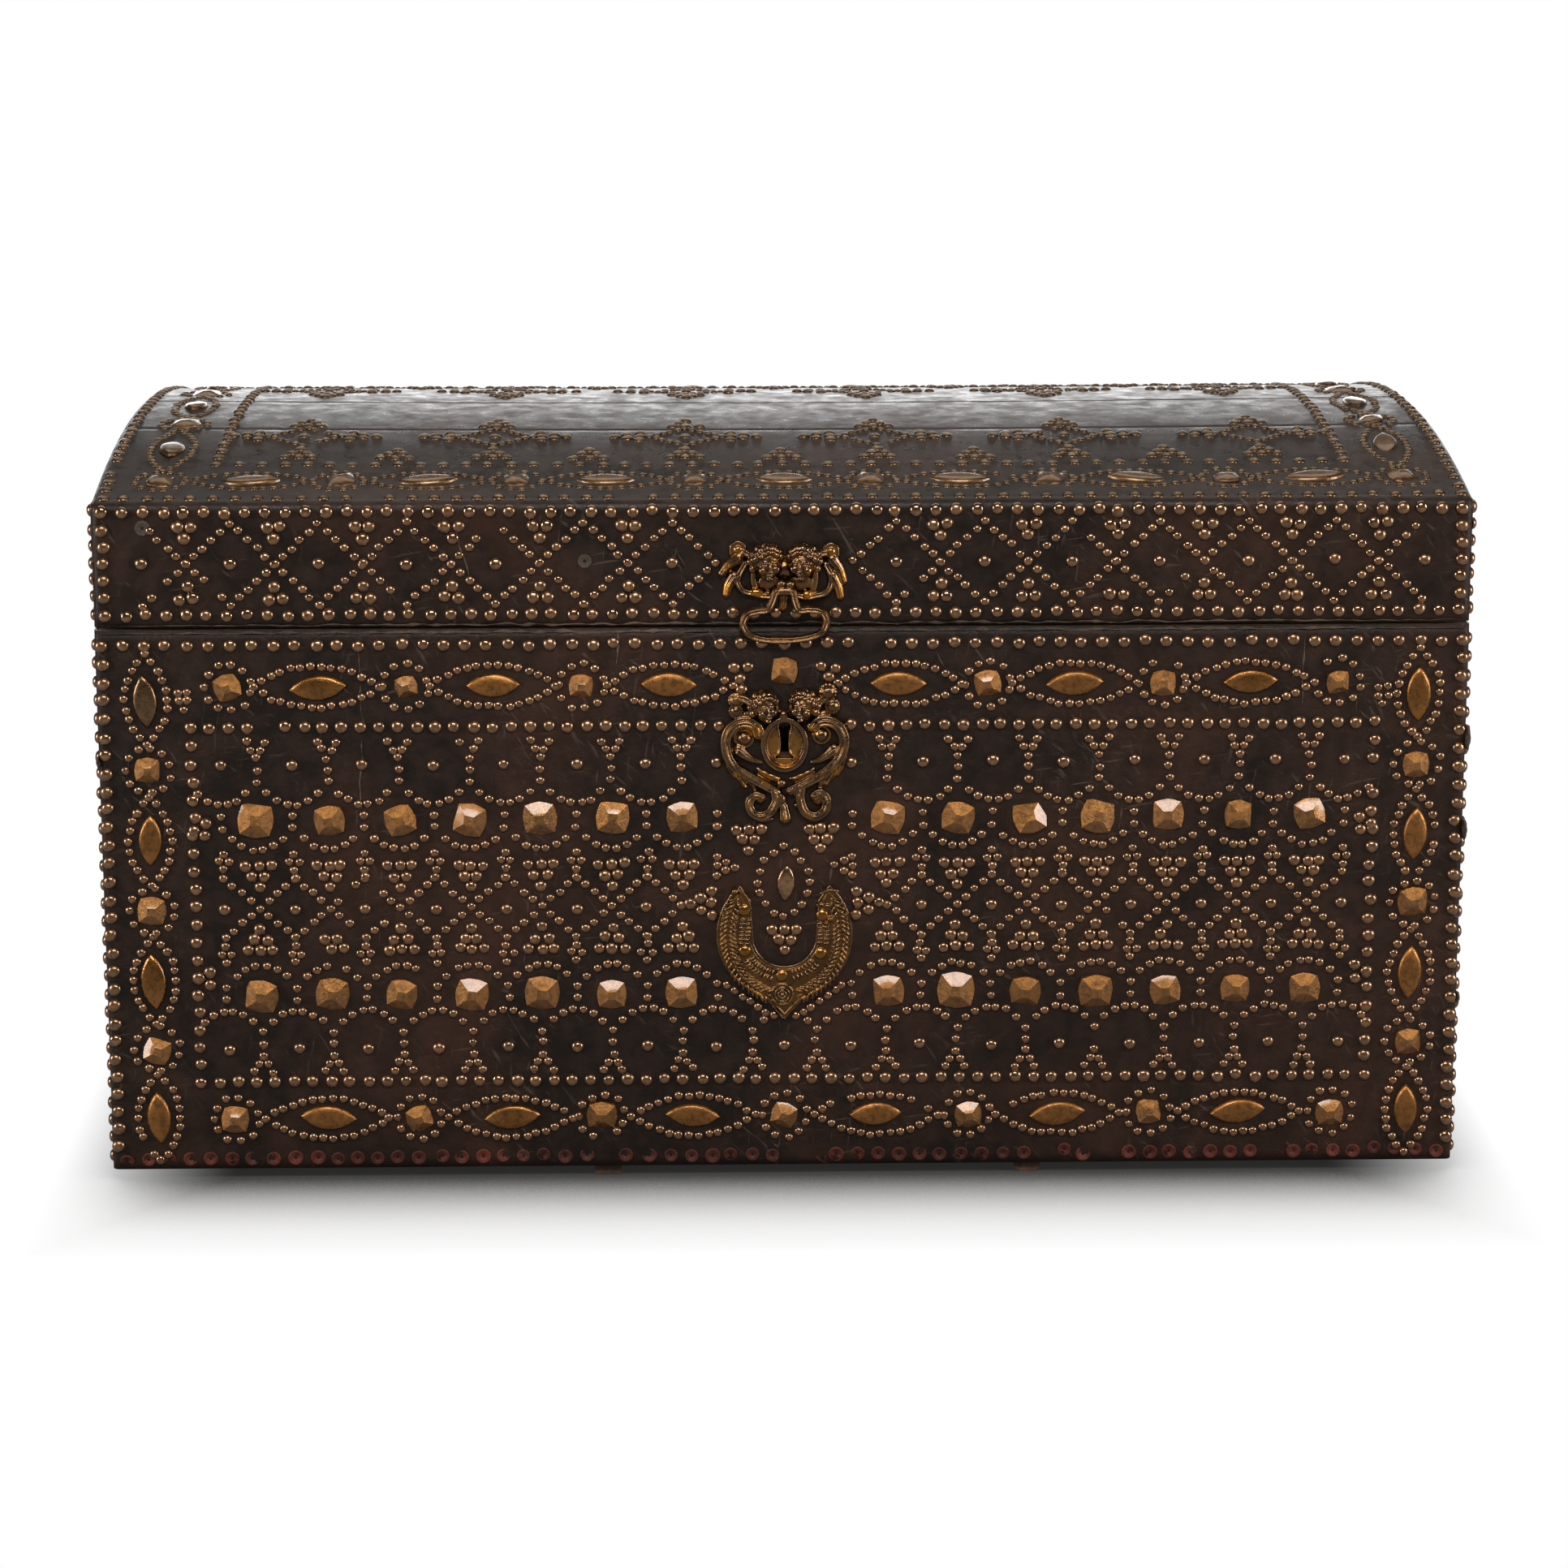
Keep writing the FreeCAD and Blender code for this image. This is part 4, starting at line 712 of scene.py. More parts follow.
def smile(left, right, cusp, trough, count):
    """A hanging arc between two cusps, the cusps themselves left out."""
    shares = [-1 + 2 * step / (count + 1) for step in range(1, count + 1)]
    middle, half = (left + right) / 2, (right - left) / 2
    return [(middle + share * half, trough + (cusp - trough) * share**2) for share in shares]


print("a triangle of six:", triangle(0, 0, (3, 2, 1), 11, 9)[:3])

# %% [markdown]
# The bosses are solids of the frame, and the rings of nails have to stay with them. So their places
# are read from the frame: each loose island of a node's mesh is one boss.

# %% Places of the bosses


def boss_places(node):
    """Middle and box of every loose boss in a node of the frame."""
    bm = bmesh.new()
    bm.from_mesh(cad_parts[node].data)
    bmesh.ops.remove_doubles(bm, verts=bm.verts, dist=1e-6)
    found, seen = [], set()
    for start in bm.verts:
        if start in seen:
            continue
        island, queue = [], [start]
        seen.add(start)
        while queue:
            vert = queue.pop()
            island.append(vert.co.copy())
            for edge in vert.link_edges:
                other = edge.other_vert(vert)
                if other not in seen:
                    seen.add(other)
                    queue.append(other)
        low = Vector([min(co[axis] for co in island) for axis in range(3)])
        high = Vector([max(co[axis] for co in island) for axis in range(3)])
        found.append(((low + high) / 2, high - low))
    bm.free()
    return found


front_squares = boss_places("front_square_bosses")
front_lenses = boss_places("front_lens_bosses")
lid_squares = boss_places("lid_square_bosses")
lid_lenses = boss_places("lid_lens_bosses")
centre_lens = boss_places("centre_lens_boss")
print(len(front_squares), len(front_lenses), len(lid_squares), len(lid_lenses), "bosses")

# %% [markdown]
# Case front, first part. It is edged with large nails, and a second frame of nails stands inside.
# Between the two runs a chain: almonds of small nails round the lenses and circles round the
# squares. The nailer drew such lines with a rule and compasses, and the helpers do the same.

# %% Border, inner frame and chains of the case front
case_big = frame_rows(-544.5, 544.5, 30, 449.5, 17.0, 15.1)
case_big = [(x, z) for x, z in case_big if z > 31 or abs(x) > 540]
FRAME_X, FRAME_LOW, FRAME_HIGH = 476.0, 84.1, 382.0
inner_frame = frame_rows(-FRAME_X, FRAME_X, FRAME_LOW, FRAME_HIGH, 15.1, 14.9)
case_big += [(x, z) for x, z in inner_frame if not (abs(x) < 50 and z > 380)]
case_mid, case_small = [], []
FIELD_ROWS = (140, 330)
for middle, extent in front_squares:
    x, z = middle.x / MM, middle.z / MM
    in_field = FIELD_ROWS[0] < z < FIELD_ROWS[1] and abs(x) < 470
    if not in_field and not (abs(x) < 20 and z > 400):
        case_small += circle(x, z, 18.6, 11)
for middle, extent in front_lenses:
    x, z = middle.x / MM, middle.z / MM
    upright = extent.z > extent.x
    half_long = 37 if upright else 50.5
    case_small += almond(x, z, half_long, 17.2, 8.6, upright)
for side in (-1, 1):
    case_mid += triangle(side * 35, 430, (2, 1, 1), 11, 9.6)
    case_small += triangle(side * 482, 411, (2, 2, 1), 7.4, 6.6)
    for z in (297.3, 172.7):
        case_mid += triangle(side * (FRAME_X - 10), z, (2, 1), 12, 9.5, side * math.pi / 2)
print(len(case_big), "big and", len(case_mid) + len(case_small), "smaller nails so far")

# %% [markdown]
# Case front, second part: the field. It repeats bay by bay: waves hang between the forks, under
# each fork sits a boss, then a triangle of six, and a net of lozenges runs through the middle. The
# lower half is the upper half turned over, so every point is drawn once and mirrored.

# %% Field of the case front
BAY, FIRST_BAY, BAYS = 56.9, 83.0, 7
FIELD_MIDDLE = 231.7


def fork(x):
    """A fork of nails that hangs from the inner frame."""
    prongs = [(x - 7.5, 370), (x + 7.5, 370), (x - 3.6, 363.5), (x + 3.6, 363.5)]
    return prongs + row((x, 356.4), (x, 337), 9.7)


def turned_over(points):
    """Points of the upper half, mirrored into the lower half."""
    return [(x, 2 * FIELD_MIDDLE - z) for x, z in points]


half_mid, half_small = [], []
bosses_x = [FIRST_BAY + BAY * number for number in range(BAYS)]
bays_x = [FIRST_BAY + BAY * (number - 0.5) for number in range(BAYS + 1)]
for side in (-1, 1):
    for x in bosses_x:
        half_small += fork(side * x)
        half_mid += triangle(side * x, 267.2, (3, 2, 1), 10.3, 9.1)
    for x in bays_x:
        half_mid.append((side * x, 351.1))
        half_small += row((side * x, 309), (side * x, 298.4), 10)
        if x > FIRST_BAY:
            half_small += triangle(side * x, 277.5, (1, 2, 1), 8.2, 6.9)
    for left, right in zip(bosses_x, bosses_x[1:]):
        half_small += smile(side * left, side * right, 337, 318.5, 6)
    for left, right in zip(bays_x, bays_x[1:]):
        half_small += smile(side * left, side * right, 298.4, 280.5, 6)
        if left > FIRST_BAY:
            half_small += row((side * left, 257), (side * (left + BAY / 2), FIELD_MIDDLE), 8.6)[:-1]
        half_small += row((side * (right - BAY / 2), FIELD_MIDDLE), (side * right, 257), 8.6)
    half_small += smile(side * bosses_x[-1], side * (FRAME_X + 4), 337, 318.5, 6)
for x in bays_x[1:]:
    case_mid += [(x, FIELD_MIDDLE - 1.3), (-x, FIELD_MIDDLE - 1.3)]
for points, whole in ((half_mid, case_mid), (half_small, case_small)):
    whole += points
    whole += turned_over([(x, z) for x, z in points if z > FIELD_MIDDLE + 1])
print(len(case_big), "big and", len(case_mid) + len(case_small), "smaller nails on the front")

# %% [markdown]
# Case front, third part: the middle. Triangles and a pointed loop frame the small lens and the
# crescent; two forks close the gap that the lock plate leaves in the lower half.

# %% Middle of the case front
for side in (-1, 1):
    case_mid += triangle(side * 29, 296, (3, 2, 1), 9.8, 8.9)
    case_mid += triangle(side * 59, 233, (3, 2, 1), 10.2, 9.2, side * math.pi / 2)
    case_small += triangle(side * 55, 264.5, (3, 2, 1), 8, 7.4, -side * math.pi / 2)
    x = side * (FIRST_BAY - BAY)
    case_small += turned_over(fork(x))
    case_small += smile(x, side * FIRST_BAY, 126.4, 144.9, 6)
    case_small += row((side * 47, 164), (side * 15, 141), 8.4)
case_small += smile(BAY - FIRST_BAY, FIRST_BAY - BAY, 126.4, 140, 5)
case_mid += triangle(0, 211.1, (3, 2, 1), 9.8, 8.6)
case_small += almond(-1, 251, 30, 20.5, 9.2, True)
case_mid.append((0, 113))
LOST = 0.012
case_nails = []
for kind, points in ((BIG, case_big), (MIDDLE, case_mid), (SMALL, case_small)):
    case_nails += [(kind, on_wall("front", x, z)) for x, z in points if dice.random() > LOST]
stamp("case_front_nails", case_nails, "case", nail_brass)

# %% [markdown]
# The lid's skirt has a net of small nails with one big nail in each lozenge and a triad in each
# gap, between two border rows. The net stops at the mask in the middle.

# %% Nails of the lid's front
NET, FIRST_NET, NETS = 70.2, 89.5, 7
NET_HALF, NET_LEVEL, NET_LIMIT = 35.1, 515.6, 545
lid_big = frame_rows(-541, 541, 474.4, 557.5, 16.2, 14.4)
lid_small = []
for side in (-1, 1):
    for number in range(NETS):
        x = FIRST_NET + NET * number
        if (side, number) != (-1, 1):
            lid_big.append((side * x, NET_LEVEL))
        sides = lozenge(x, NET_LEVEL, NET_HALF, 33, 9.6, NET_LIMIT)
        lid_small += [(side * across, up) for across, up in sides]
        if number < NETS - 1:
            lid_big += triangle(side * (x + NET_HALF), 545.9, (2, 1), 11, 9.8)
            lid_big += triangle(side * (x + NET_HALF), 487.6, (2, 1), 11, -9.8)
lid_nails = [(BIG, on_wall("front", x, z)) for x, z in lid_big if dice.random() > LOST]
lid_nails += [(SMALL, on_wall("front", x, z)) for x, z in lid_small if dice.random() > LOST]
stamp("lid_front_nails", lid_nails, "lid", nail_brass, tones=(0.5, 1.2))

# %% [markdown]
# On top of the lid the same words are used again: borders, circles and almonds round the bosses,
# and a row of stars on each side of the bare middle. The back half is the front half mirrored.

# %% Nails of the lid's top
top_big = frame_rows(-541, 541, -271, 271, 17.5, 17.0) + frame_rows(-459, 459, -197, 197, 18.4, 17.0)
top_small = []
for middle, extent in lid_squares:
    top_small += circle(middle.x / MM, middle.y / MM, 19.6, 12)
for middle, extent in lid_lenses:
    upright = extent.y > extent.x
    top_small += almond(middle.x / MM, middle.y / MM, 56 if upright else 50.5, 17.2, 8.6, upright)
STARS, STAR_PITCH, STAR_LEVEL = 6, 158.0, -118
half_big, half_small = [], []
for number in range(STARS):
    x = (number - (STARS - 1) / 2) * STAR_PITCH
    half_big.append((x, STAR_LEVEL))
    half_small += lozenge(x, STAR_LEVEL, 31, 27, 8.4)
    half_big += triangle(x, STAR_LEVEL + 35, (3, 2, 1), 11.4, -10)
    half_big += triangle(x, STAR_LEVEL - 60, (3, 2, 1), 11.4, -10)
    for side in (-1, 1):
        half_big += triangle(x + side * 38, STAR_LEVEL, (3, 2, 1), 10.6, 10.6, side * math.pi / 2)
    if number < STARS - 1:
        half_big += triangle(x + STAR_PITCH / 2, -181, (3, 2, 1), 11.8, -10.6)
for points, whole in ((half_big, top_big), (half_small, top_small)):
    whole += points + [(x, -y) for x, y in points]
top_nails = [(LOW, on_lid(x, y)) for x, y in top_big if dice.random() > LOST]
top_nails += [(LOW_SMALL, on_lid(x, y)) for x, y in top_small if dice.random() > LOST]
stamp("lid_top_nails", top_nails, "lid", lid_brass)

# %% [markdown]
# Every wall of the case and the lid is edged with nails, because they hold the hide. The photograph
# does not show the ends and the back, so these get borders, the ends one frame inside, and no more.

# %% Nails of the ends and the back
hidden_case, hidden_lid = [], []
for side, half in (("left", HALF_DEPTH), ("right", HALF_DEPTH), ("back", HALF_WIDTH)):
    edge = half / MM - 8
    points = frame_rows(-edge, edge, 20, 449.5, 17.0, 15.1)
    if side != "back":
        points += frame_rows(-edge + 62, edge - 62, FRAME_LOW, FRAME_HIGH, 15.1, 14.9)
    hidden_case += [(BIG, on_wall(side, x, z)) for x, z in points]
    skirt = frame_rows(-edge, edge, 474.4, 557.5, 16.2, 14.4)
    hidden_lid += [(BIG, on_wall(side, x, z)) for x, z in skirt]
stamp("case_side_nails", hidden_case, "case", nail_brass)
stamp("lid_side_nails", hidden_lid, "lid", nail_brass)

# %% [markdown]
# Three hundred years leave marks. Along the foot of the front the nails are gone, and red discs with
# a hole show where they sat; on the skirt of the lid two more are missing. An imprint is a shallow
# dish, spun like a nail head, in hide from which the dye has gone.

# %% Imprints of lost nails
RED = {"Dark": rgb(0.045, 0.013, 0.0085), "Warm": rgb(0.12, 0.026, 0.016), "Redness": 1.0, "Dust and sheen": 0.1}
red_hide = finish_of("red hide", hide, RED, bump=0.6, shine=0.15)
DISH = ((6.0, -0.5), (5.8, 0.5), (5.0, 0.75), (4.2, 0.3), (1.4, 0.15), (1.1, -0.8), (0.0, -0.9))
TEMPLATES["imprint"] = as_template(spun([(radius * MM, height * MM) for radius, height in DISH], 12))
FOOT_ROW, NO_IMPRINT = row((-538, 18.6), (538, 18.6), 17.0), 0.12
imprints = [("imprint", on_wall("front", x, z)) for x, z in FOOT_ROW if dice.random() > NO_IMPRINT]
stamp("lost_nails", imprints, "case", red_hide, 1.5)
gone = []
for x, z, size in ((-159.7, NET_LEVEL, 1.0), (-508, 545, 1.1)):
    gone.append(("imprint", on_wall("front", x, z) @ Matrix.Scale(size, 4)))
stamp("lost_lid_nails", gone, "lid", torn_leather)

# %% [markdown]
# Frayed edges and cracks are thin strips of hide. A grid from an operator is laid along a line on the
# front, noise makes its width ragged, and its middle is raised a little. Such edges catch the light,
# which bump alone cannot do. The rim of the case and the edge of the lid have one each.

# %% Frayed edges and cracks
STANDS_OFF = 0.25


def frayed(name, body, start, end, width, rise, seed):
    """A thin ragged strip along the front wall, from one place to another; a low strip also sways."""
    start, end = Vector(start), Vector(end)
    along = (end - start).normalized()
    aside = Vector((-along.y, along.x))
    length = (end - start).length
    bm = bmesh.new()
    bmesh.ops.create_grid(bm, x_segments=max(6, round(length / 3)), y_segments=4, size=0.5)
    for vert in bm.verts:
        share, across = vert.co.x + 0.5, vert.co.y
        ragged = noise.noise(Vector((share * length * 0.11, seed, 0.6 * across)))
        ragged = min(1.3, max(0.1, 0.45 + 1.3 * ragged))
        sway = noise.noise(Vector((share * length * 0.045, seed + 5, 0)))
        spread = across * width * ragged * (1 - abs(2 * share - 1) ** 6)
        flat = start + along * share * length + aside * (spread + 0.6 * width * sway * (rise < 1))
        lift = STANDS_OFF + rise * max(0, 1 - (2 * across) ** 2) * (0.7 + 0.6 * sway)
        vert.co = on_wall("front", flat.x, flat.y) @ Vector((0, 0, lift * MM))
    bmesh.ops.recalc_face_normals(bm, faces=bm.faces)
    return piece(name, bm, body, torn_leather)


frayed("rim_welt", "case", (-546, 459.6), (546, 459.6), 4.2, 1.5, 11)
frayed("lid_fray", "lid", (-546, 466.0), (546, 466.0), 2.6, 0.9, 23)
CRACKED = (
    ("case", (-341, 461), (-338, 372)), ("case", (-339, 372), (-342, 314)),
    ("case", (-133, 462), (-134, 432)), ("case", (418, 458), (416, 396)),
    ("lid", (-262, 545), (-250, 500)), ("case", (120, 446), (128, 430)),
)
for number, (body, start, end) in enumerate(CRACKED):
    frayed(f"crack_{number + 1}", body, start, end, 2.4, 0.4, 31 + number)

# %% [markdown]
# At the corners small flaps of hide have come loose and curl away from the wood. Each starts as a
# grid that goes round the corner, and curls more towards its free edge.

# %% Flaps at the corners
FLAPS = ((1, 369, 20, 4.2), (1, 292, 16, 4.0), (-1, 355, 10, 3.0), (1, 150, 9, 2.4))
for number, (side, level, tall, out) in enumerate(FLAPS):
    flap = bmesh.new()
    bmesh.ops.create_grid(flap, x_segments=5, y_segments=6, size=0.5)
    for vert in flap.verts:
        share, up = vert.co.x + 0.5, vert.co.y
        ragged = 1 - 0.55 * abs(2 * up) ** 1.5 + 0.25 * noise.noise(Vector((up * 7, number, 0)))
        curl = out * share**1.5 * ragged * MM
        x = side * (HALF_WIDTH - 1.5 * MM + 0.7 * curl + 1.2 * MM * share)
        y = -HALF_DEPTH + 6 * MM - 9 * MM * share - 0.4 * curl
        vert.co = Vector((x, y, (level + up * tall) * MM))
    bmesh.ops.recalc_face_normals(flap, faces=flap.faces)
    bmesh.ops.solidify(flap, geom=flap.faces[:], thickness=1.0 * MM)
    piece(f"flap_{number + 1}", flap, "case", torn_leather)

# %% [markdown]
# The bosses are stamped from sheet brass. Here an outline is raised in steps: each step extrudes the
# top face, makes it smaller and lifts it. The outline of a square has bowed sides, and its corners
# stand out a little. A lens is bounded by two arcs.

# %% Raising sheet brass
EDGE_DEPTH = -1.6 * MM


def raised(outline, levels):
    """Raise an outline in steps; each level is a height and a share of the outline."""
    bm = bmesh.new()
    bmesh.ops.create_circle(bm, cap_ends=True, radius=1, segments=len(outline))
    for vert, (x, y) in zip(bm.verts, outline):
        vert.co = Vector((x, y, EDGE_DEPTH))
    bmesh.ops.recalc_face_normals(bm, faces=bm.faces)
    top = bm.faces[0]
    if top.normal.z < 0:
        top.normal_flip()
    last, height = 1.0, EDGE_DEPTH
    for level, share in levels:
        top = bmesh.ops.extrude_discrete_faces(bm, faces=[top])["faces"][0]
        bmesh.ops.scale(bm, vec=(share / last, share / last, 1), verts=top.verts)
        bmesh.ops.translate(bm, vec=(0, 0, level - height), verts=top.verts)
        last, height = share, level
    return bm


def bowed_square(half, bow):
    """Sixteen points of a square with bowed sides."""
    points = []
    for step in range(16):
        side, share = divmod(step, 4)
        along = half * (share / 2 - 1)
        flat = Vector((along, -half - bow * (1 - (along / half) ** 2))) * (1.0 if share else 1.07)
        points.append(tuple(Matrix.Rotation(side * math.pi / 2, 2) @ flat))
    return points


def lens_outline(half_long, half_wide, count=20):
    """Points of an almond, tip to tip."""
    radius = (half_long**2 + half_wide**2) / (2 * half_wide)
    reach = math.asin(half_long / radius)
    points = []
    for step in range(count):
        share = 2 * step / count
        sign = 1 if share < 1 else -1
        angle = reach * (1 - 2 * (share % 1)) * sign
        points.append((radius * math.sin(angle), sign * (radius * math.cos(angle) - radius + half_wide)))
    return points


print("a bowed square has", len(bowed_square(10, 3)), "points and a lens", len(lens_outline(23, 10)))

# %% [markdown]
# Every vertex of the raised square then moves onto the plane of its facet, so that four flat facets
# meet in sharp hips round a small flat top. The lens is ready as it is raised, and a smaller one, the
# drop, is made for the middle of the front.

# %% Shapes of the bosses
SQUARE_LEVELS = ((0.4 * MM, 1.0), (1.0 * MM, 0.985), (3.4 * MM, 0.62), (6.0 * MM, 0.28))
LENS_LEVELS = ((0.5 * MM, 1.0), (2.3 * MM, 0.9), (3.0 * MM, 0.8), (3.6 * MM, 0.5), (3.8 * MM, 0.2))
TOP_HALF, TOP_LEVEL, FACET_SLOPE = 3.6 * MM, 6.0 * MM, 0.57
square = raised(bowed_square(10.3 * MM, 3.1 * MM), SQUARE_LEVELS)
for vert in square.verts:
    reach = max(abs(vert.co.x), abs(vert.co.y))
    if vert.co.z > 5 * MM:
        vert.co.xy *= TOP_HALF / reach
    elif vert.co.z > 0.7 * MM:
        bulge = 0.25 * MM if vert.co.z > 2 * MM else 0
        vert.co.z = TOP_LEVEL - FACET_SLOPE * (reach - TOP_HALF) + bulge
TEMPLATES["square"] = as_template(square)
TEMPLATES["lens"] = as_template(raised(lens_outline(23.4 * MM, 10.3 * MM), LENS_LEVELS))
TEMPLATES["drop"] = as_template(raised(lens_outline(16.5 * MM, 7.9 * MM), LENS_LEVELS))
print("square", len(TEMPLATES["square"][0].polygons), "lens", len(TEMPLATES["lens"][0].polygons), "faces")

# %% [markdown]
# The bosses go where the frame has them, turned where they stand upright. Squares of the field are the
# largest. On the lid they are lower, and their brass is duller, with a darker colour that is painted shade;
# those at the back are lower still. One lens at the top left of the front is tarnished.

# %% Setting the bosses
QUARTER = Matrix.Rotation(math.pi / 2, 4, "Z")
LOW_SQUARE, LOW_BACK = Matrix.Diagonal((1, 1, 0.66, 1)), Matrix.Diagonal((1, 1, 0.5, 1))


def boss_size(middle):
    """Squares of the chains are smaller than those of the field."""
    if middle.z > LID_EDGE:
        return dice.uniform(0.86, 0.96)
    if FIELD_ROWS[0] < middle.z / MM < FIELD_ROWS[1] and abs(middle.x) < 0.47:
        return dice.uniform(0.97, 1.05)
    return dice.uniform(0.74, 0.8) if middle.z > 0.38 else dice.uniform(0.8, 0.94)


def boss_stamps(kind, found, where, upright_axis):
    """Places for bosses that were found in the frame, turned where they stand upright."""
    stamps = []
    for middle, extent in found:
        matrix = where(middle)
        if kind == "square":
            turn = Matrix.Rotation(dice.gauss(0, 0.12), 4, "Z")
            matrix = matrix @ turn @ Matrix.Diagonal((*[boss_size(middle)] * 2, 1, 1))
        if middle.y > 0.2:
            matrix = matrix @ LOW_BACK
        elif kind == "square" and middle.z > LID_EDGE:
            matrix = matrix @ LOW_SQUARE
        stamps.append((kind, matrix @ QUARTER if extent[upright_axis] > extent.x else matrix))
    return stamps


def front_spot(middle):
    """Matrix of a boss on the front."""
    return on_wall("front", middle.x / MM, middle.z / MM)


def lid_spot(middle):
    """Matrix of a boss on the lid."""
    return on_lid(middle.x / MM, middle.y / MM)


tarnished = [found for found in front_lenses if found[0].x < -0.47 and found[0].z > 0.36]
bright_lenses = [found for found in front_lenses if found not in tarnished]
BOSS_SETS = (
    ("front_squares", "square", front_squares, front_spot, 0, "case", "front_square_bosses"),
    ("front_lenses", "lens", bright_lenses, front_spot, 2, "case", "front_lens_bosses"),
    ("tarnished_lens", "lens", tarnished, front_spot, 2, "case", None),
    ("centre_lens", "drop", centre_lens, front_spot, 2, "case", "centre_lens_boss"),
    ("lid_squares", "square", lid_squares, lid_spot, 0, "lid", "lid_square_bosses"),
    ("lid_lenses", "lens", lid_lenses, lid_spot, 1, "lid", "lid_lens_bosses"),
)
for name, kind, found, where, axis, body, node in BOSS_SETS:
    finish = boss_brass if kind == "square" else lens_brass
    # The lid's bosses take the darker brass as painted shade; the tarnished lens takes it for its tarnish.
    if body == "lid" or name == "tarnished_lens":
        finish = tarnish_and_shade_boss
    elif kind == "drop":
        finish = nail_brass
    crease, jitter = (20 if body == "case" else 55, 1.3) if kind == "square" else (50, 0.9)
    stands_for = (node,) if node else ()
    places = boss_stamps(kind, found, where, axis)
    stamp(name, places, body, finish, jitter, crease, stands_for, tones=(0.2, 1.15))

# %% [markdown]
# The three mounts are cast bronze, once gilt: a lock plate, a mask and a crescent. A founder's wax
# is built from pellets and rolls pressed together, and these are made in the same way. Balls and
# rows of balls overlap, a voxel remesh melts them into one skin, and smoothing wears it down.

# %% Modelling in wax
pellet_mesh = bmesh.new()
bmesh.ops.create_icosphere(pellet_mesh, subdivisions=2, radius=1)
PELLET = as_mesh("pellet", pellet_mesh)


def ball(wax, x, y, out, wide, high=None, thick=None, turn=0.0):
    """A pellet: place and half sizes in millimetres, turned in the plane of the wall."""
    size = Matrix.Diagonal((wide, high or wide, thick or wide, 1))
    matrix = Matrix.Translation((x, y, out)) @ Matrix.Rotation(turn, 4, "Z") @ size
    PELLET.transform(matrix)
    wax.from_mesh(PELLET)
    PELLET.transform(matrix.inverted())


def line_through(points, spacing):
    """Points at a near even spacing on a smooth curve through some places."""
    places = [Vector(point) for point in points]
    ends = [2 * places[0] - places[1], *places, 2 * places[-1] - places[-2]]
    line = [places[0]]
    for before, start, end, after in zip(ends, ends[1:], ends[2:], ends[3:]):
        handles = start + (end - before) / 6, end - (after - start) / 6
        count = max(2, round((end - start).length / spacing))
        line += interpolate_bezier(start, *handles, end, count + 1)[1:]
    return line


def roll(wax, points, start, end, out=2.0, flat=1.0, ridges=()):
    """A tapering roll along a curve; ridges are thin rolls on its back, by their share of its width."""
    line = line_through(points, 0.7 if ridges else 0.45 * min(start, end) + 0.35)
    for number, spot in enumerate(line):
        radius = start + (end - start) * number / (len(line) - 1)
        ball(wax, spot.x, spot.y, out, radius, radius, radius * flat)
        along = line[min(number + 1, len(line) - 1)] - line[max(number - 1, 0)]
        aside = Vector((-along.y, along.x)).normalized()
        for share in ridges:
            lifted = out + radius * flat * math.sqrt(1 - share**2) + 0.1 * radius
            ridge = spot + aside * share * radius
            ball(wax, ridge.x, ridge.y, lifted, 0.25 * radius)


def ring(wax, x, y, out, wide, high, size, count, thick=None):
    """Pellets round an oval."""
    for number in range(count):
        turn = math.tau * number / count
        ball(wax, x + wide * math.cos(turn), y + high * math.sin(turn), out, size, size, thick)


def both(points, shift=0.0):
    """The mirrored places of a curve, moved sideways."""
    return [(shift - x, y) for x, y in points]


print("pellet", len(PELLET.polygons), "faces")

# %% [markdown]
# A small head for the mounts, by the rule of the drawing books: eyes at half the height, the foot
# of the nose halfway between eyes and chin, the mouth a third of the way further down. Curls are
# pellets set round the skull in three rows.

# %% A small head
HEAD = (
    (0, 0.12, 0, 0.84, 0.86, 0.82), (0, -0.42, 0.16, 0.62, 0.54, 0.58), (0, -0.86, 0.54, 0.22, 0.13, 0.17),
    (0, -0.14, 0.8, 0.09, 0.28, 0.14), (0, -0.36, 0.87, 0.14, 0.1, 0.13),
    (0, -0.58, 0.75, 0.21, 0.055, 0.1), (0, -0.68, 0.72, 0.16, 0.06, 0.1),
    (0.3, 0.01, 0.71, 0.14, 0.08, 0.1), (-0.3, 0.01, 0.71, 0.14, 0.08, 0.1),
    (0.3, 0.17, 0.73, 0.21, 0.06, 0.1), (-0.3, 0.17, 0.73, 0.21, 0.06, 0.1),
    (0.4, -0.32, 0.54, 0.29, 0.28, 0.23), (-0.4, -0.32, 0.54, 0.29, 0.28, 0.23),
)
CURL_ROWS = ((0.98, 0.0, 0.29, 9, -22), (0.88, 0.36, 0.25, 7, 18), (0.68, 0.6, 0.2, 5, 42))


def head(wax, x, y, size, look, lean):
    """A face with curls; look turns it sideways and lean tilts it."""
    turned = Matrix.Rotation(lean, 3, "Z") @ Matrix.Rotation(look, 3, "Y")
    parts = list(HEAD)
    for reach, out, curl, count, start in CURL_ROWS:
        for number in range(count):
            angle = math.radians(start + (180 - 2 * start) * number / (count - 1))
            place_of = (reach * math.cos(angle), 0.12 + reach * math.sin(angle), out)
            parts.append((*place_of, curl * dice.uniform(0.85, 1.15), curl, curl))
    for across, up, out, *half in parts:
        spot = turned @ Vector((across, up, out * 1.06)) * size
        ball(wax, x + spot.x, y + spot.y, 0.3 * size + spot.z, *[size * part for part in half], turn=lean)


print(len(HEAD), "pellets for a face")

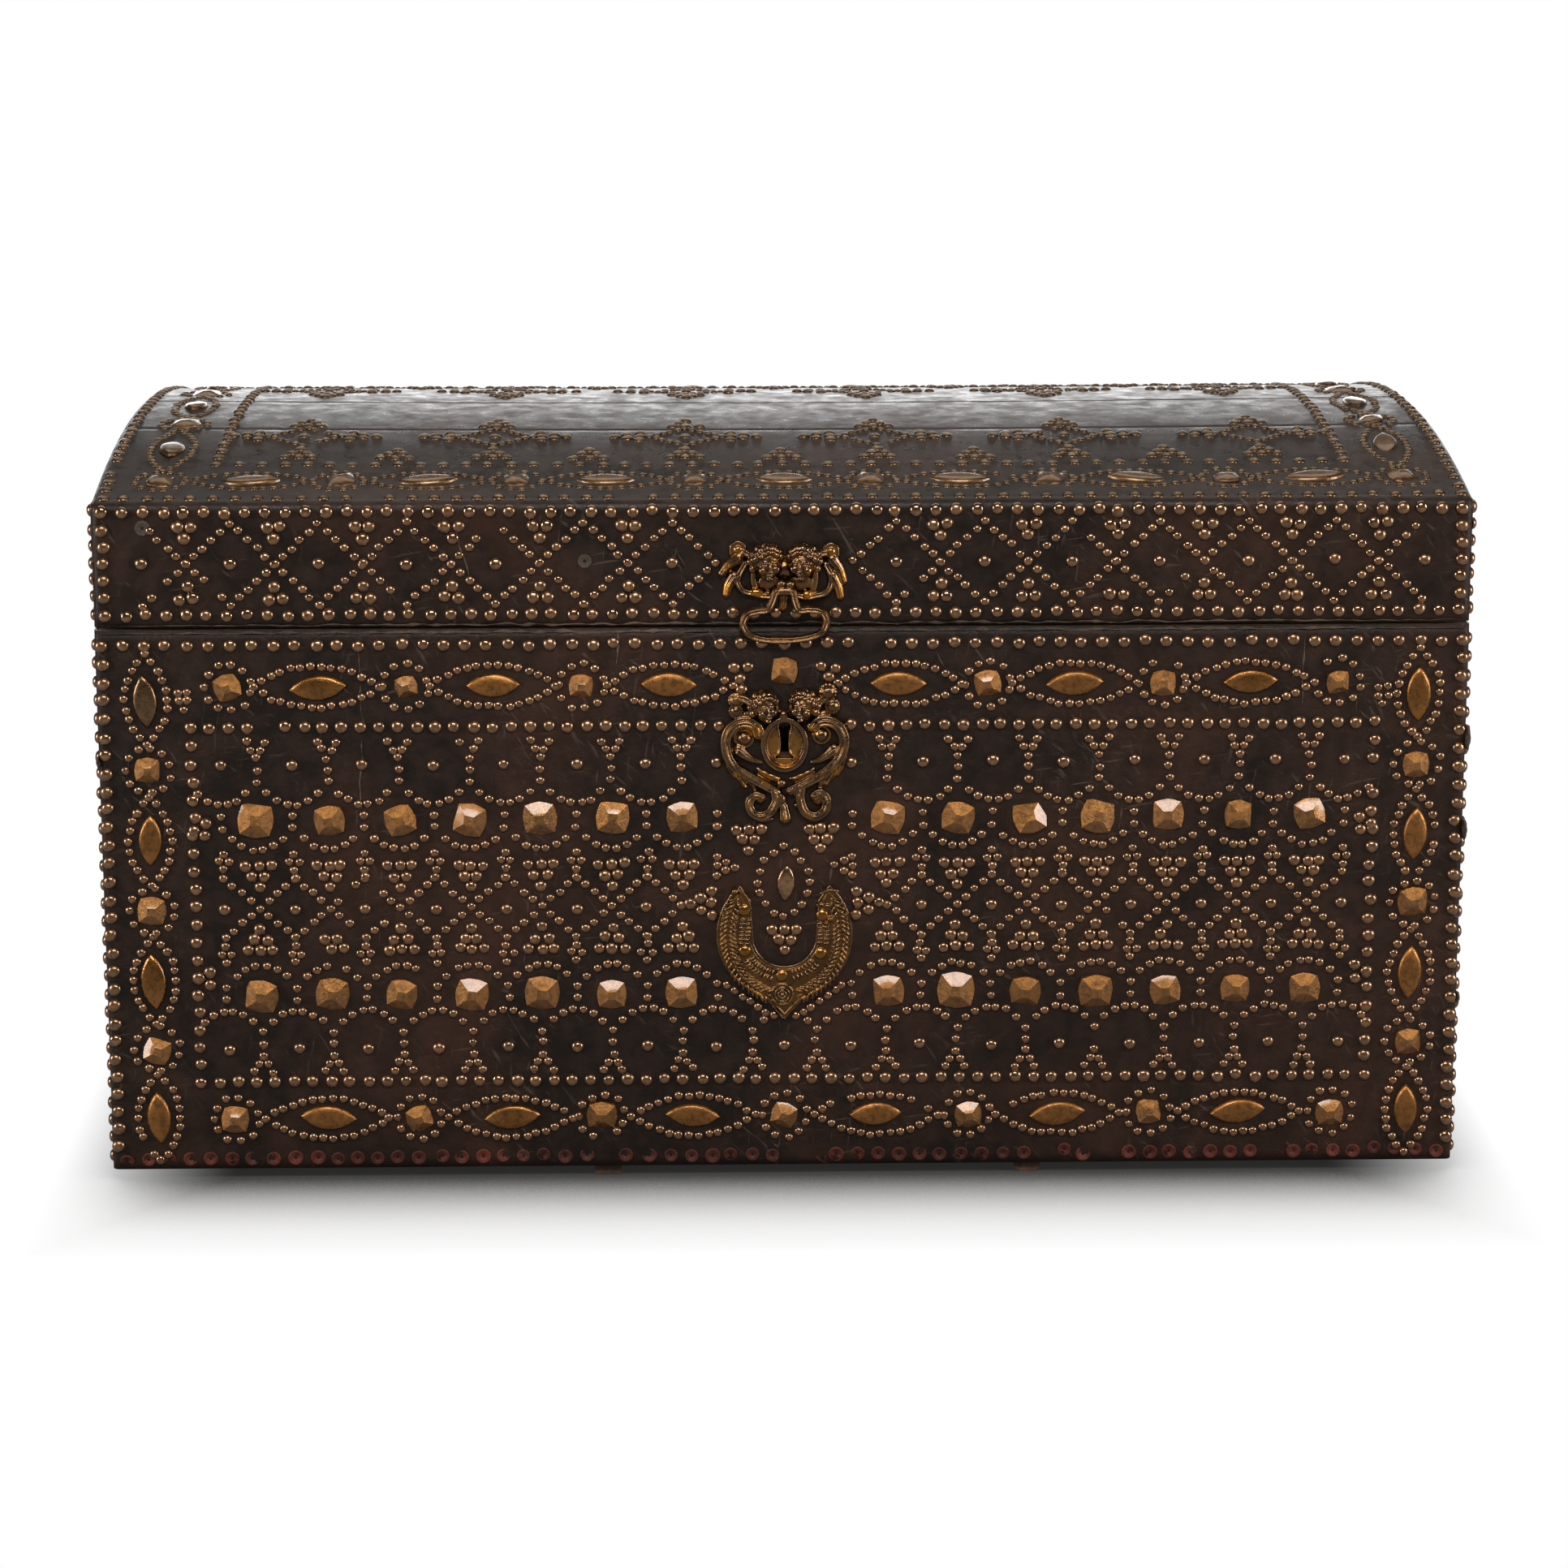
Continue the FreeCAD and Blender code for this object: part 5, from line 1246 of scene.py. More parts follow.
# %% [markdown]
# The bronze keeps its gilding in the hollows and on chosen spots. Its ridges are paler: rubbed to the metal,
# and partly a painted highlight. Two numbers on the vertices say how far a point is a ridge and how well it
# is gilt. The hollows are darker: grime, and partly painted shade.

# %% Bronze
RUBBED_AND_HIGHLIT, GRIME_AND_SHADE = rgb(0.52, 0.38, 0.24), rgb(0.022, 0.014, 0.01)
bronze, bronze_in = new_group("cast bronze", values=("Ridge", "Gilding"), colours=("Metal", "Gilt"))
spot = bronze.place()
cloud = bronze.span(bronze.speckle(spot, 70.0, 5.0, 0.65, 0.6), 0.38, 0.64)
hollow = bronze.span(bronze_in["Ridge"], 0.28, 0.58, 1.0, 0.0)
gilded = bronze.times(bronze.times(hollow, cloud), 0.75)
gilded = bronze.larger(gilded, bronze.times(cloud, 0.28))
gilded = bronze.larger(gilded, bronze_in["Gilding"])
bronze_colour = bronze.blend(gilded, bronze_in["Metal"], bronze_in["Gilt"])
# Ridges turn paler: rubbed metal, and partly a painted highlight.
rubbed_and_highlit = bronze.span(bronze_in["Ridge"], 0.72, 1.0, 0.0, 0.6)
bronze_colour = bronze.blend(rubbed_and_highlit, bronze_colour, RUBBED_AND_HIGHLIT)
# Hollows turn darker: grime, and partly painted shade.
grime_and_shade = bronze.span(bronze.speckle(spot, 210.0, 6.0, 0.7), 0.52, 0.66)
grime_and_shade = bronze.times(grime_and_shade, bronze.span(bronze_in["Ridge"], 0.3, 0.6, 0.85, 0.15))
bronze_colour = bronze.blend(grime_and_shade, bronze_colour, GRIME_AND_SHADE)
bronze_rough = bronze.span(cloud, 0.0, 1.0, 0.2, 0.38)
bronze.deliver(bronze_colour, bronze_rough, bronze.speckle(spot, 300.0, 5.0, 0.65))
MOUNT = {"Metal": rgb(0.145, 0.083, 0.048), "Gilt": rgb(0.48, 0.215, 0.042)}
CHASED = {"Metal": rgb(0.12, 0.06, 0.026), "Gilt": rgb(0.34, 0.155, 0.038)}
ON_CASTING = {"Ridge": "ridge", "Gilding": "gilding"}
mount_bronze = finish_of("mount bronze", bronze, MOUNT, ON_CASTING, 1.0, bump=0.2, depth=0.0005)
crescent_bronze = finish_of("crescent bronze", bronze, CHASED, ON_CASTING, 1.0, bump=0.35, depth=0.0006)
print("bronze", len(bronze.tree.nodes), "nodes")

# %% [markdown]
# Casting turns wax into a mount. Two modifiers melt the pellets into one skin and wear it, the back is
# cut off flat, and the skin is set on the front. How far a vertex stands above a smoothed copy of the
# skin tells ridge from hollow.

# %% Casting
BACK, RIDGE_HEIGHT, SMOOTHINGS = -0.6, 0.55, 8


def melted(mesh, grain, rounds, cutter=None):
    """A bmesh of a mesh after a voxel remesh, rounds of smoothing and, if there is a cutter, its cut."""
    mould = in_scene("mould", mesh)
    melt = mould.modifiers.new("melt", "REMESH")
    melt.mode, melt.voxel_size = "VOXEL", grain
    wear = mould.modifiers.new("wear", "SMOOTH")
    wear.factor, wear.iterations = 0.5, rounds
    if cutter:
        hole = mould.modifiers.new("hole", "BOOLEAN")
        hole.object, hole.operation, hole.solver = cutter, "DIFFERENCE", "EXACT"
    poured = mould.evaluated_get(bpy.context.evaluated_depsgraph_get())
    bm = bmesh.new()
    bm.from_mesh(bpy.data.meshes.new_from_object(poured))
    bpy.data.objects.remove(mould)
    return bm


def cast(name, wax, middle, body, material, node, grain, gilding=(), cutter=None):
    """Melt the wax, mark ridges and gilding, and set the casting on the front."""
    bm = melted(as_mesh(name + "_wax", wax), grain, 1, cutter)
    cut(bm, (0, 0, BACK), (0, 0, 1), clear_inner=True)
    bm.normal_update()
    ridge_layer = bm.verts.layers.float.new("ridge")
    gilding_layer = bm.verts.layers.float.new("gilding")
    worn = bm.copy()
    every_axis = {"use_axis_x": True, "use_axis_y": True, "use_axis_z": True}
    for turn in range(SMOOTHINGS):
        bmesh.ops.smooth_vert(worn, verts=worn.verts, factor=0.5, **every_axis)
    for vert, soft in zip(bm.verts, worn.verts):
        stands = (vert.co - soft.co).dot(vert.normal) / RIDGE_HEIGHT
        vert[ridge_layer] = min(1, max(0, 0.5 + stands))
        for x, y, reach, amount in gilding:
            near = 1.3 - math.hypot(vert.co.x - x, vert.co.y - y) / reach
            vert[gilding_layer] = max(vert[gilding_layer], amount * min(1, max(0, 3 * near)))
    worn.free()
    bm.transform(Matrix.Translation((0, -HALF_DEPTH, middle)) @ FRONT_TURN @ Matrix.Scale(MM, 4))
    return piece(name, bm, body, material, (node,))


print("back of a casting at", BACK, "mm")

# %% [markdown]
# The lock plate stands round the keyhole. Its middle is an oval field inside three rings, with two
# heads above it and a pair of shells beside each head. All sizes are millimetres from the middle of
# the oval.

# %% Lock plate, its oval, heads and shells
KEY_LEVEL = 366.4 * MM
plate = bmesh.new()
ball(plate, 0, 0, 0, 18, 21.5, 2.4)
for wide, high, out, size in ((17.2, 20.5, 2.0, 2.7), (18.3, 21.7, 4.0, 0.9), (15.8, 19, 3.9, 0.7)):
    ring(plate, 0, 0, out, wide, high, size, 160)
head(plate, -16.4, 30.4, 11.6, 0.35, 0.12)
head(plate, 15.4, 31.2, 11.6, -0.35, -0.1)
ball(plate, -1, 24.5, 2, 4.5, 4, 3.5)
for x, y, size in ((-39, 37, 5.8), (-39, 28.2, 5.2), (34.6, 43.6, 6.8), (38.2, 32, 5.6)):
    ball(plate, x, y, 3, size)
    ring(plate, x, y, 4.6, 0.92 * size, 0.92 * size, 1.5, 14)
roll(plate, [(-26, 34), (-32, 37.5), (-38, 39)], 4.5, 4, 2.5, 0.9, (-0.5, 0.3))
roll(plate, [(26, 34), (30, 38.5), (35, 41)], 5, 4.2, 2.5, 0.9, (-0.5, 0.3))
roll(plate, [(-28, 26), (-34, 24), (-40, 26)], 3.5, 3, 2)
roll(plate, [(27, 24), (33, 26), (39, 30)], 4, 3.2, 2)
print("upper plate", len(plate.verts), "vertices of wax")

# %% [markdown]
# A big volute swings out at each side, with a round button in its eye, and the two stems cross below
# the oval. The founder did not make the plate even, so left and right differ a little. Leaves grow
# from the stems, inwards in overlapping scales and outwards in points.

# %% Lock plate, its volutes and leaves
THREE = (-0.72, -0.05, 0.6)
LEFT_BAND = [
    (-21, 8.5), (-22.5, 14.5), (-29, 18.6), (-37.5, 17.8), (-44.5, 12), (-47.2, 2), (-45.4, -9),
    (-40, -18), (-33, -23), (-22, -29.5), (-12, -35.5), (-6, -39.5),
]
RIGHT_BAND = [
    (22.5, 15), (28, 19.5), (36, 19.8), (44, 15), (48, 5.5), (47, -5), (42, -14), (32, -23), (19, -31),
    (4, -38.5),
]
roll(plate, LEFT_BAND, 5.0, 3.6, 2.4, 0.9, THREE)
roll(plate, RIGHT_BAND, 5.2, 3.6, 2.4, 0.9, THREE)
roll(plate, [(-26, 12), (-32, 14.5), (-38.5, 11), (-40, 4), (-36, -1.5)], 1.6, 1.2, 2.6)
roll(plate, [(24, 14), (25, 9), (24.5, 4)], 2.6, 1.3, 2.2)
for x, y, size in ((-32.4, 5.3, 6.1), (29.6, 7.8, 5.8)):
    ball(plate, x, y, 2.4, size, size, 5.2)
    ring(plate, x, y, 2.0, size + 1.2, size + 1.2, 1.25, 20)
LEAF = [(-37, -4), (-30.5, -9.5), (-24.5, -13), (-18.6, -14.6)]
roll(plate, LEAF, 5.0, 1.4, 2, 0.8, (-0.5, 0.1))
roll(plate, both(LEAF, 3), 5.0, 1.4, 2, 0.8, (0.5, -0.1))
for side, shift in ((-1, 0), (1, 2)):
    for number, (x, y) in enumerate(((19.5, -22), (15, -24), (10.5, -26), (6, -28))):
        ball(plate, side * x + shift, y, 1.8, 4.6, 1.7, 2.2, side * (0.75 - 0.22 * number))
    ball(plate, side * 13 + shift, -26.5, 1.2, 11, 3.2, 2, side * 0.45)
POINTS = (
    ([(-45, -9), (-44, -18), (-39.5, -26)], 5.0, 2.2), ([(-40, -17), (-36, -27), (-31.5, -35)], 4.6, 2.1),
    ([(-33, -23), (-27, -31), (-24, -36.5)], 4.2, 1.9), ([(46, -8), (45.5, -16), (42.5, -24.5)], 5.4, 2.4),
    ([(41, -15), (38.5, -24), (34, -33)], 5.0, 2.2), ([(31, -24), (30, -30), (28, -36)], 4.0, 2.0),
)
for points, start, end in POINTS:
    roll(plate, points, start, end, 1.4, 0.75, (0.0,))
print("with volutes and leaves", len(plate.verts), "vertices of wax")

# %% [markdown]
# At the foot two smaller volutes turn outwards, a pendant hangs between them, and small balls fill
# the corners where the stems meet.

# %% Lock plate, its foot
LEFT_FOOT = [
    (-7, -39), (-6.6, -47), (-12, -56), (-20.5, -59), (-27.5, -54), (-28.4, -46.5), (-23.5, -41.6),
    (-18, -43.5),
]
RIGHT_FOOT = [
    (13.6, -34), (12.8, -45), (16.6, -55.5), (25, -59), (32.6, -53.5), (33.4, -45.5), (29, -40.6),
    (24, -42.6),
]
roll(plate, LEFT_FOOT, 4.4, 3.6, 2.4, 0.9, THREE)
roll(plate, RIGHT_FOOT, 4.0, 4.2, 2.4, 0.9, THREE)
roll(plate, [(-0.8, -50), (-0.2, -55), (0.6, -61)], 3.6, 5.2, 2.4, 0.85, (-0.6, 0.0, 0.6))
roll(plate, [(-26, -58), (-19, -63.4), (-10, -62)], 1.4, 1.2, 1.6)
roll(plate, [(20, -60), (27, -62.4), (33, -59)], 1.3, 1.2, 1.6)
roll(plate, [(6, -38), (10, -42), (14, -40)], 2.4, 2.2, 1.8)
FOOT_BALLS = (
    (-2.6, -31.8, 3.4, 3.9), (-3.4, -45, 3, 5, 5.8, 4.6, 0.4), (9.6, -50.6, 2, 2.6),
    (-19.8, -45.6, 2.4, 3.6), (26.6, -46, 2.4, 4.2, 4.2, 3),
)
for pellet in FOOT_BALLS:
    ball(plate, *pellet)
print("with its foot", len(plate.verts), "vertices of wax")

# %% [markdown]
# The keyhole goes through the wax, so that a key could. Half its outline is drawn, mirrored and pulled
# out to a block, which the casting cuts away. A thin lip follows the edge. The gilt spots are where
# the photograph shows gold: place, reach and how much.

# %% Keyhole and casting of the lock plate
KEY_SIDE = [
    (0.01, 19), (3.4, 18), (5, 14.6), (4.6, 10.4), (3.6, 6.5), (3.3, 0), (3.6, -5), (4.8, -8),
    (7.2, -9.6), (7.2, -11.8),
]
KEY_BACK, KEY_LENGTH = -3, 14
side_line = [(point.x, point.y) for point in line_through(KEY_SIDE, 1.0)]
outline = side_line + [(-x, y) for x, y in reversed(side_line)]
keyhole = bmesh.new()
key_face = keyhole.faces.new([keyhole.verts.new((x, y, KEY_BACK)) for x, y in outline])
deep = bmesh.ops.extrude_face_region(keyhole, geom=[key_face])["geom"]
far_end = [item for item in deep if isinstance(item, bmesh.types.BMVert)]
bmesh.ops.translate(keyhole, vec=(0, 0, KEY_LENGTH), verts=far_end)
bmesh.ops.recalc_face_normals(keyhole, faces=keyhole.faces)
key_cutter = in_scene("keyhole", as_mesh("keyhole", keyhole))
for lip in (KEY_SIDE[1:], both(KEY_SIDE[1:])):
    roll(plate, lip, 1.1, 1.1, 2.6)
PLATE_GILT = (
    (0, 0, 11.5, 0.6), (0, -9, 9.5, 0.7), (0, 8, 9, 0.4), (-24, 12, 6, 0.8), (22, 13, 5, 0.9),
    (-39.5, -26, 4, 0.9), (-31.5, -35, 4, 0.7), (42.5, -22, 5, 0.8), (-12, -25, 7, 0.7), (14, -24, 6, 0.5),
    (-0.4, -60, 4, 0.6), (-16, -33, 4, 0.7),
)
PLATE_GRAIN = 0.56
cast(
    "lock_plate", plate, KEY_LEVEL, "case", mount_bronze, "lock_escutcheon",
    PLATE_GRAIN, PLATE_GILT, key_cutter,
)
bpy.data.objects.remove(key_cutter)

# %% [markdown]
# The mask sits on the lid over the seam: two heads side by side, a hooded knob at each upper corner,
# two leaves below each knob, and scrolls that loop round an opening. Between the heads hangs a
# tongue, and the bail's wire goes through a barrel above it.

# %% Mask
MASK_LEVEL, MOUNT_GRAIN = 508 * MM, 0.45
HOOD = ((-5, -4), (-4.6, 2), (0, 5), (4.6, 2), (5, -4))
mask = bmesh.new()
head(mask, -14.4, 7.2, 13, 0.25, 0.06)
head(mask, 14.8, 7.2, 13, -0.25, -0.06)
for side, x, y in ((-1, -37.2, 19.4), (1, 36.8, 17.6)):
    hood = [(x + across, y + up) for across, up in HOOD]
    roll(mask, hood, 2.1, 2.1, 3.2)
    ball(mask, x, y - 1, 2.6, 4.2, 4.4, 4)
    ball(mask, side * 35.8, y - 8.6, 3, 3.1)
    roll(mask, [(side * 24, 14), (side * 29, 15), (x - side * 4, y - 2)], 4, 3.4, 2.4, 0.9, (-0.4, 0.4))
LEFT_LEAVES = [(-36, 12), (-43.5, 6.5), (-50, -0.7)], [(-40, -3), (-44.4, -10), (-46.4, -17.8)]
RIGHT_LEAVES = [(38, 10), (44, 1.5), (47, -7.6)], [(38.4, -3), (42.6, -12), (44.4, -20)]
for points in (*LEFT_LEAVES, *RIGHT_LEAVES):
    roll(mask, points, 5.2, 3.4, 2.4, 0.9, (0.1,))
LEFT_LOOP = [(-31.5, 7), (-35.4, 0), (-37.4, -8), (-32.6, -14.8), (-25, -17), (-17, -19), (-10, -19.5)]
RIGHT_LOOP = [(33, 6), (36.6, -2), (36.6, -11), (32, -17.2), (25, -19), (18, -20.4), (11, -19)]
for points in (LEFT_LOOP, RIGHT_LOOP):
    roll(mask, points, 3.4, 3.0, 2.4, 0.9, (-0.4, 0.4))
roll(mask, [(-24.6, 2), (-25, -6), (-23.4, -13)], 2.6, 3, 2)
roll(mask, [(24.6, 2), (24.4, -7), (22.6, -14)], 3, 3.4, 2)
MASK_BALLS = (
    (-22.4, -16.4, 3.6, 6.6, 3.7, 3.4, -0.12), (17.6, -18.6, 3.6, 4.4, 4.2, 3.4), (-13.4, -17.4, 3, 3),
    (0, 2, 2, 6, 8, 5), (-12, -8.5, 1.5, 10, 7, 4), (13, -8.5, 1.5, 10, 7, 4), (0, 10.4, 2.4, 3, 3.6, 3),
    (-2.8, -8.2, 8.6, 3.5), (4.4, -8.8, 8.6, 3.4), (0, -14, 3, 6, 6, 5),
)
BARREL = [(-4.2 + 0.7 * step, -14.5, 8, 1.6, 4, 4) for step in range(13)]
for pellet in (*MASK_BALLS, *BARREL):
    ball(mask, *pellet)
roll(mask, [(-0.6, -18), (-0.9, -24), (-1.2, -28.4)], 5, 3.4, 2.4, 0.9, (-0.45, 0.45))
MASK_GILT = (
    (-22.4, -17.4, 5.4, 1.0), (17.6, -20, 4, 0.9), (-46, -13, 5, 0.9), (-46, 4, 4, 0.6), (46, -4, 4, 0.8),
    (43, -16, 5, 0.8), (-1.2, -27.6, 3.4, 0.8), (37, 17, 4.4, 0.5), (-37, 18, 4, 0.5), (22, 1, 4, 0.6),
    (-9, 12, 4, 0.4),
)
cast("mask", mask, MASK_LEVEL, "lid", mount_bronze, "mask_mount", MOUNT_GRAIN, MASK_GILT)

# %% [markdown]
# The bail is a hand-forged wire, bent with tongs into shoulders and a flat-bottomed loop. Thin ridges run
# along its front, and the bronze finish makes them paler, partly as rubbed metal and partly as a painted
# highlight. It rides on its own body, so it swings.

# %% Bail
wire = bmesh.new()
BAIL = [
    (-3, -14.5), (-7.2, -15.4), (-9, -21), (-13.4, -29), (-22, -30.6), (-30, -33.4), (-33.2, -42),
    (-27.6, -50.2), (-16.6, -53.8), (0.4, -54.6), (18.6, -52.6), (29.4, -48), (33.4, -40), (29.6, -31.4),
    (19.6, -29.4), (11.6, -29.6), (8, -22), (6.6, -15.6), (3, -14.5),
]
roll(wire, BAIL, 3.3, 3.3, 8, 0.8, (-0.35, 0.5))
cast("bail_wire", wire, MASK_LEVEL, "bail", mount_bronze, "bail_pull", MOUNT_GRAIN)

# %% [markdown]
# The crescent is a flat casting with a chased band. Its plate comes from the frame, brought into the
# plane of the wax, and a raised edge follows every sharp rim of its face. A helper gives places along
# a curve with the direction there, for the chasing.

# %% Crescent, its plate
CRESCENT_LEVEL = 199.6 * MM
FACE = (-HALF_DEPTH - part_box("crescent_mount")[0].y) / MM
crescent = bmesh.new()
crescent.from_mesh(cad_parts["crescent_mount"].data)
bmesh.ops.remove_doubles(crescent, verts=crescent.verts, dist=1e-6)
to_wax = Matrix.Translation((0, -HALF_DEPTH, CRESCENT_LEVEL)) @ FRONT_TURN @ Matrix.Scale(MM, 4)
crescent.transform(to_wax.inverted())
rim_lines = [
    [vert.co.copy() for vert in edge.verts] for edge in crescent.edges
    if min(vert.co.z for vert in edge.verts) > FACE - 0.05 and edge.calc_face_angle(0) > 1
]
for begin, stop in rim_lines:
    steps = math.ceil((stop - begin).length / 0.6)
    for step in range(steps):
        here = begin.lerp(stop, step / steps)
        ball(crescent, here.x, here.y, FACE - 0.1, 0.85, 0.85, 1.2)


def along_line(points, spacing):
    """Places on a curve, with the direction there and the direction across it."""
    line = line_through(points, spacing)
    for before, here, after in zip(line, line[1:], line[2:]):
        along = after - before
        yield here, math.atan2(along.y, along.x), Vector((-along.y, along.x)).normalized()


print("crescent's face stands", round(FACE, 2), "mm off the wall and has", len(rim_lines), "rim edges")

# %% [markdown]
# On the plate lie an outer band of small leaves in pairs along a vein, an inner band of ribs broken
# by smooth cushions, and a ringed rosette above the point. A chaser's punch never falls twice the
# same, so leaves and ribs vary a little.

# %% Crescent, its chasing
LEFT_OUTER = [(-38.4, 38), (-44, 25), (-46.2, 6), (-42.8, -13), (-34, -28.4), (-20.6, -39.2), (-11, -44.4)]
INNER = [
    (-33.5, 37), (-31.6, 24), (-32.4, 8), (-32.4, -5), (-25, -17.5), (-13, -25), (-2, -26.8), (10, -25),
    (21.6, -18), (29, -8), (31.4, 8), (31, 24), (33, 36),
]
CUSHIONS = ((-32.4, -5.4), (-2.4, -26.6), (29, -8), (30.4, 24.5), (-32.4, 29))
for points in (LEFT_OUTER, both(LEFT_OUTER)):
    roll(crescent, points, 0.9, 0.8, FACE + 0.4)
    for here, turn, aside in along_line(points, 4.2):
        for side in (-1, 1):
            leaf = here + aside * side * 3.7
            tilt = turn + side * dice.uniform(0.65, 1.0)
            ball(crescent, leaf.x, leaf.y, FACE, 3.9, 1.4, dice.uniform(1.9, 2.6), tilt)
            tip = leaf + Matrix.Rotation(tilt, 2) @ Vector((2.7, 0))
            ball(crescent, tip.x, tip.y, FACE + 0.9, 0.9)
for here, turn, aside in along_line(INNER, 3.1):
    if min((here - Vector(cushion)).length for cushion in CUSHIONS) > 6.4:
        for share in (-2.7, 2.7):
            rib = here + aside * (share + dice.uniform(-0.2, 0.2))
            thick, tilt = dice.uniform(1.8, 2.3), turn + dice.uniform(-0.15, 0.15)
            ball(crescent, rib.x, rib.y, FACE, 1.15, 2.5, thick, tilt)
for x, y in CUSHIONS:
    ball(crescent, x, y, FACE, 5.2, 5.0, 2.6, 0.4)
for reach, size in ((8.6, 0.9), (5.8, 0.75), (3.2, 0.8)):
    ring(crescent, -2, -42.5, FACE + 0.2, reach, reach, size, 36, 1.3)
print("chased crescent", len(crescent.verts), "vertices of wax")

# %% [markdown]
# The centre of the rosette, two lines to the point, and small knobs and scrolls at the horns finish
# the wax. Gold is left on the cushions and on four spots of the outer band.

# %% Crescent, its ends and casting
for pellet in ((-2, -42.5, FACE + 0.3, 1.6), (-40.4, 44.4, 4, 3), (37, 21, 4.6, 2.8)):
    ball(crescent, *pellet)
END_ROLLS = (
    ([(-9, -53), (-5, -58), (-1.6, -62.5)], 0.8, 0.8, 4.4),
    ([(5.6, -53), (2.4, -58), (-0.6, -62.5)], 0.8, 0.8, 4.4),
    ([(-37, 46), (-31, 40), (-27.6, 30)], 1.4, 1.2, 4.6),
    ([(30, 43), (36, 45.4), (43, 44.6)], 1.3, 1.3, 4.6),
    ([(26.6, 33), (31, 36), (35, 41)], 1.3, 1.3, 4.6),
)
for points, start, end, out in END_ROLLS:
    roll(crescent, points, start, end, out)
CRESCENT_GRAIN = 0.5
BAND_GILT = ((-22, -44, 5, 0.6), (47, -8, 5, 0.55), (28, -40, 5, 0.5), (-50, 4, 4, 0.4))
CRESCENT_GILT = tuple((x, y, 4.2, 0.75) for x, y in CUSHIONS) + BAND_GILT
cast(
    "crescent", crescent, CRESCENT_LEVEL, "case", crescent_bronze, "crescent_mount",
    CRESCENT_GRAIN, CRESCENT_GILT,
)

# %% [markdown]
# The carcase is bare wood inside: pine boards with long grain in the walls, cross grain in the ends
# and the floor. Grain is noise stretched far along the board, and pores are the same noise made finer.
# Every board has its own cut and tone. The boards keep the frame's meshes and only get this finish.

# %% Wood of the carcase


def wood_group(name, stretch):
    """Grain that runs along the axis with the smallest stretch."""
    wood, wood_in = new_group(name, values=("Board",), colours=("Pale", "Dark"))
    board = wood.add("ShaderNodeCombineXYZ", {axis: wood_in["Board"] for axis in "XYZ"}).outputs[0]
    board = wood.add("ShaderNodeVectorMath", {0: wood.place(stretch), 1: board}).outputs[0]
    grain = wood.speckle(board, 3.0, 6.0, 0.6, 0.8)
    pores = wood.speckle(wood.place(tuple(6 * part for part in stretch)), 4.0, 3.0, 0.5)
    stain = wood.speckle(wood.place(), 5.0, 4.0)
    depth = wood.plus(wood.span(grain, 0.35, 0.65), wood.span(pores, 0.5, 0.7, 0.0, 0.35))
    depth = wood.plus(depth, wood.span(stain, 0.4, 0.7, -0.15, 0.3))
    wood_colour = wood.blend(depth, wood_in["Pale"], wood_in["Dark"])
    wood.deliver(wood_colour, wood.span(pores, 0.3, 0.7, 0.55, 0.8), grain)
    return wood


def dress(material, *nodes):
    """Give nodes of the frame a finish, and leave their meshes as they are."""
    for node in nodes:
        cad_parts[node].data.materials.clear()
        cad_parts[node].data.materials.append(material)
    print(material.name, "on", len(nodes), "nodes")


PINE = {"Pale": (0.26, 0.145, 0.07), "Dark": (0.085, 0.042, 0.02)}
SMOKED = {"Pale": rgb(0.10, 0.045, 0.022), "Dark": rgb(0.03, 0.015, 0.009)}
along_x, along_y = wood_group("grain along", (1.2, 16, 16)), wood_group("grain across", (16, 1.2, 16))
dress(finish_of("runner wood", along_y, {**SMOKED, "Board": 0.0}, bump=0.4), "left_runner", "right_runner")
STAVES = tuple(f"lid_stave_{number}" for number in range(1, 6))
PLANKS = tuple(f"floor_plank_{number}" for number in range(1, 4))
LONG = ("front_board", "back_board", "lid_front_rail", "lid_back_rail", *STAVES)
CROSS = ("left_end_board", "right_end_board", "lid_left_end", "lid_right_end", *PLANKS)
for number, node in enumerate(LONG + CROSS):
    shade = dice.uniform(0.7, 1.12)
    tone = {part: rgb(*[shade * value for value in colour]) for part, colour in PINE.items()}
    group = along_x if node in LONG else along_y
    dress(finish_of(node + " wood", group, {**tone, "Board": 3.7 * number}, bump=0.3), node)

# %% [markdown]
# Hinges, lock and handles are forged iron: black from the fire, with rust in patches and a grey shine
# on what stands out. The handles are softened copies of the frame's bars, because a smith's hammer
# leaves no sharp edge. Dents go inwards only, so that the bars stay clear of the lugs they turn in.

# %% Iron
SHINE = rgb(0.16, 0.15, 0.14)
smithy, smithy_in = new_group("forged iron", colours=("Black", "Rust"))
spot = smithy.place()
rust = smithy.span(smithy.speckle(spot, 38.0, 6.0, 0.7, 0.4), 0.5, 0.68)
dents = smithy.speckle(spot, 90.0, 3.0, 0.5)
iron_colour = smithy.blend(smithy.span(dents, 0.35, 0.7), smithy_in["Black"], SHINE)
iron_colour = smithy.blend(rust, iron_colour, smithy_in["Rust"])
iron_rough = smithy.span(rust, 0.0, 1.0, 0.34, 0.75)
smithy.deliver(iron_colour, iron_rough, smithy.plus(dents, smithy.times(rust, 0.4)))
FORGED = {"Black": rgb(0.055, 0.05, 0.046), "Rust": rgb(0.10, 0.038, 0.016)}
iron = finish_of("iron", smithy, FORGED, metallic=0.85, bump=0.5, depth=0.0012)
HINGES = [f"{side}_{part}" for side in ("left", "right") for part in ("case_hinge", "lid_hinge", "hinge_pin")]
dress(iron, *HINGES, "lock_case", "lock_bolt", "lid_staple")
ROOM, DENT = 0.3 * MM, 0.45 * MM


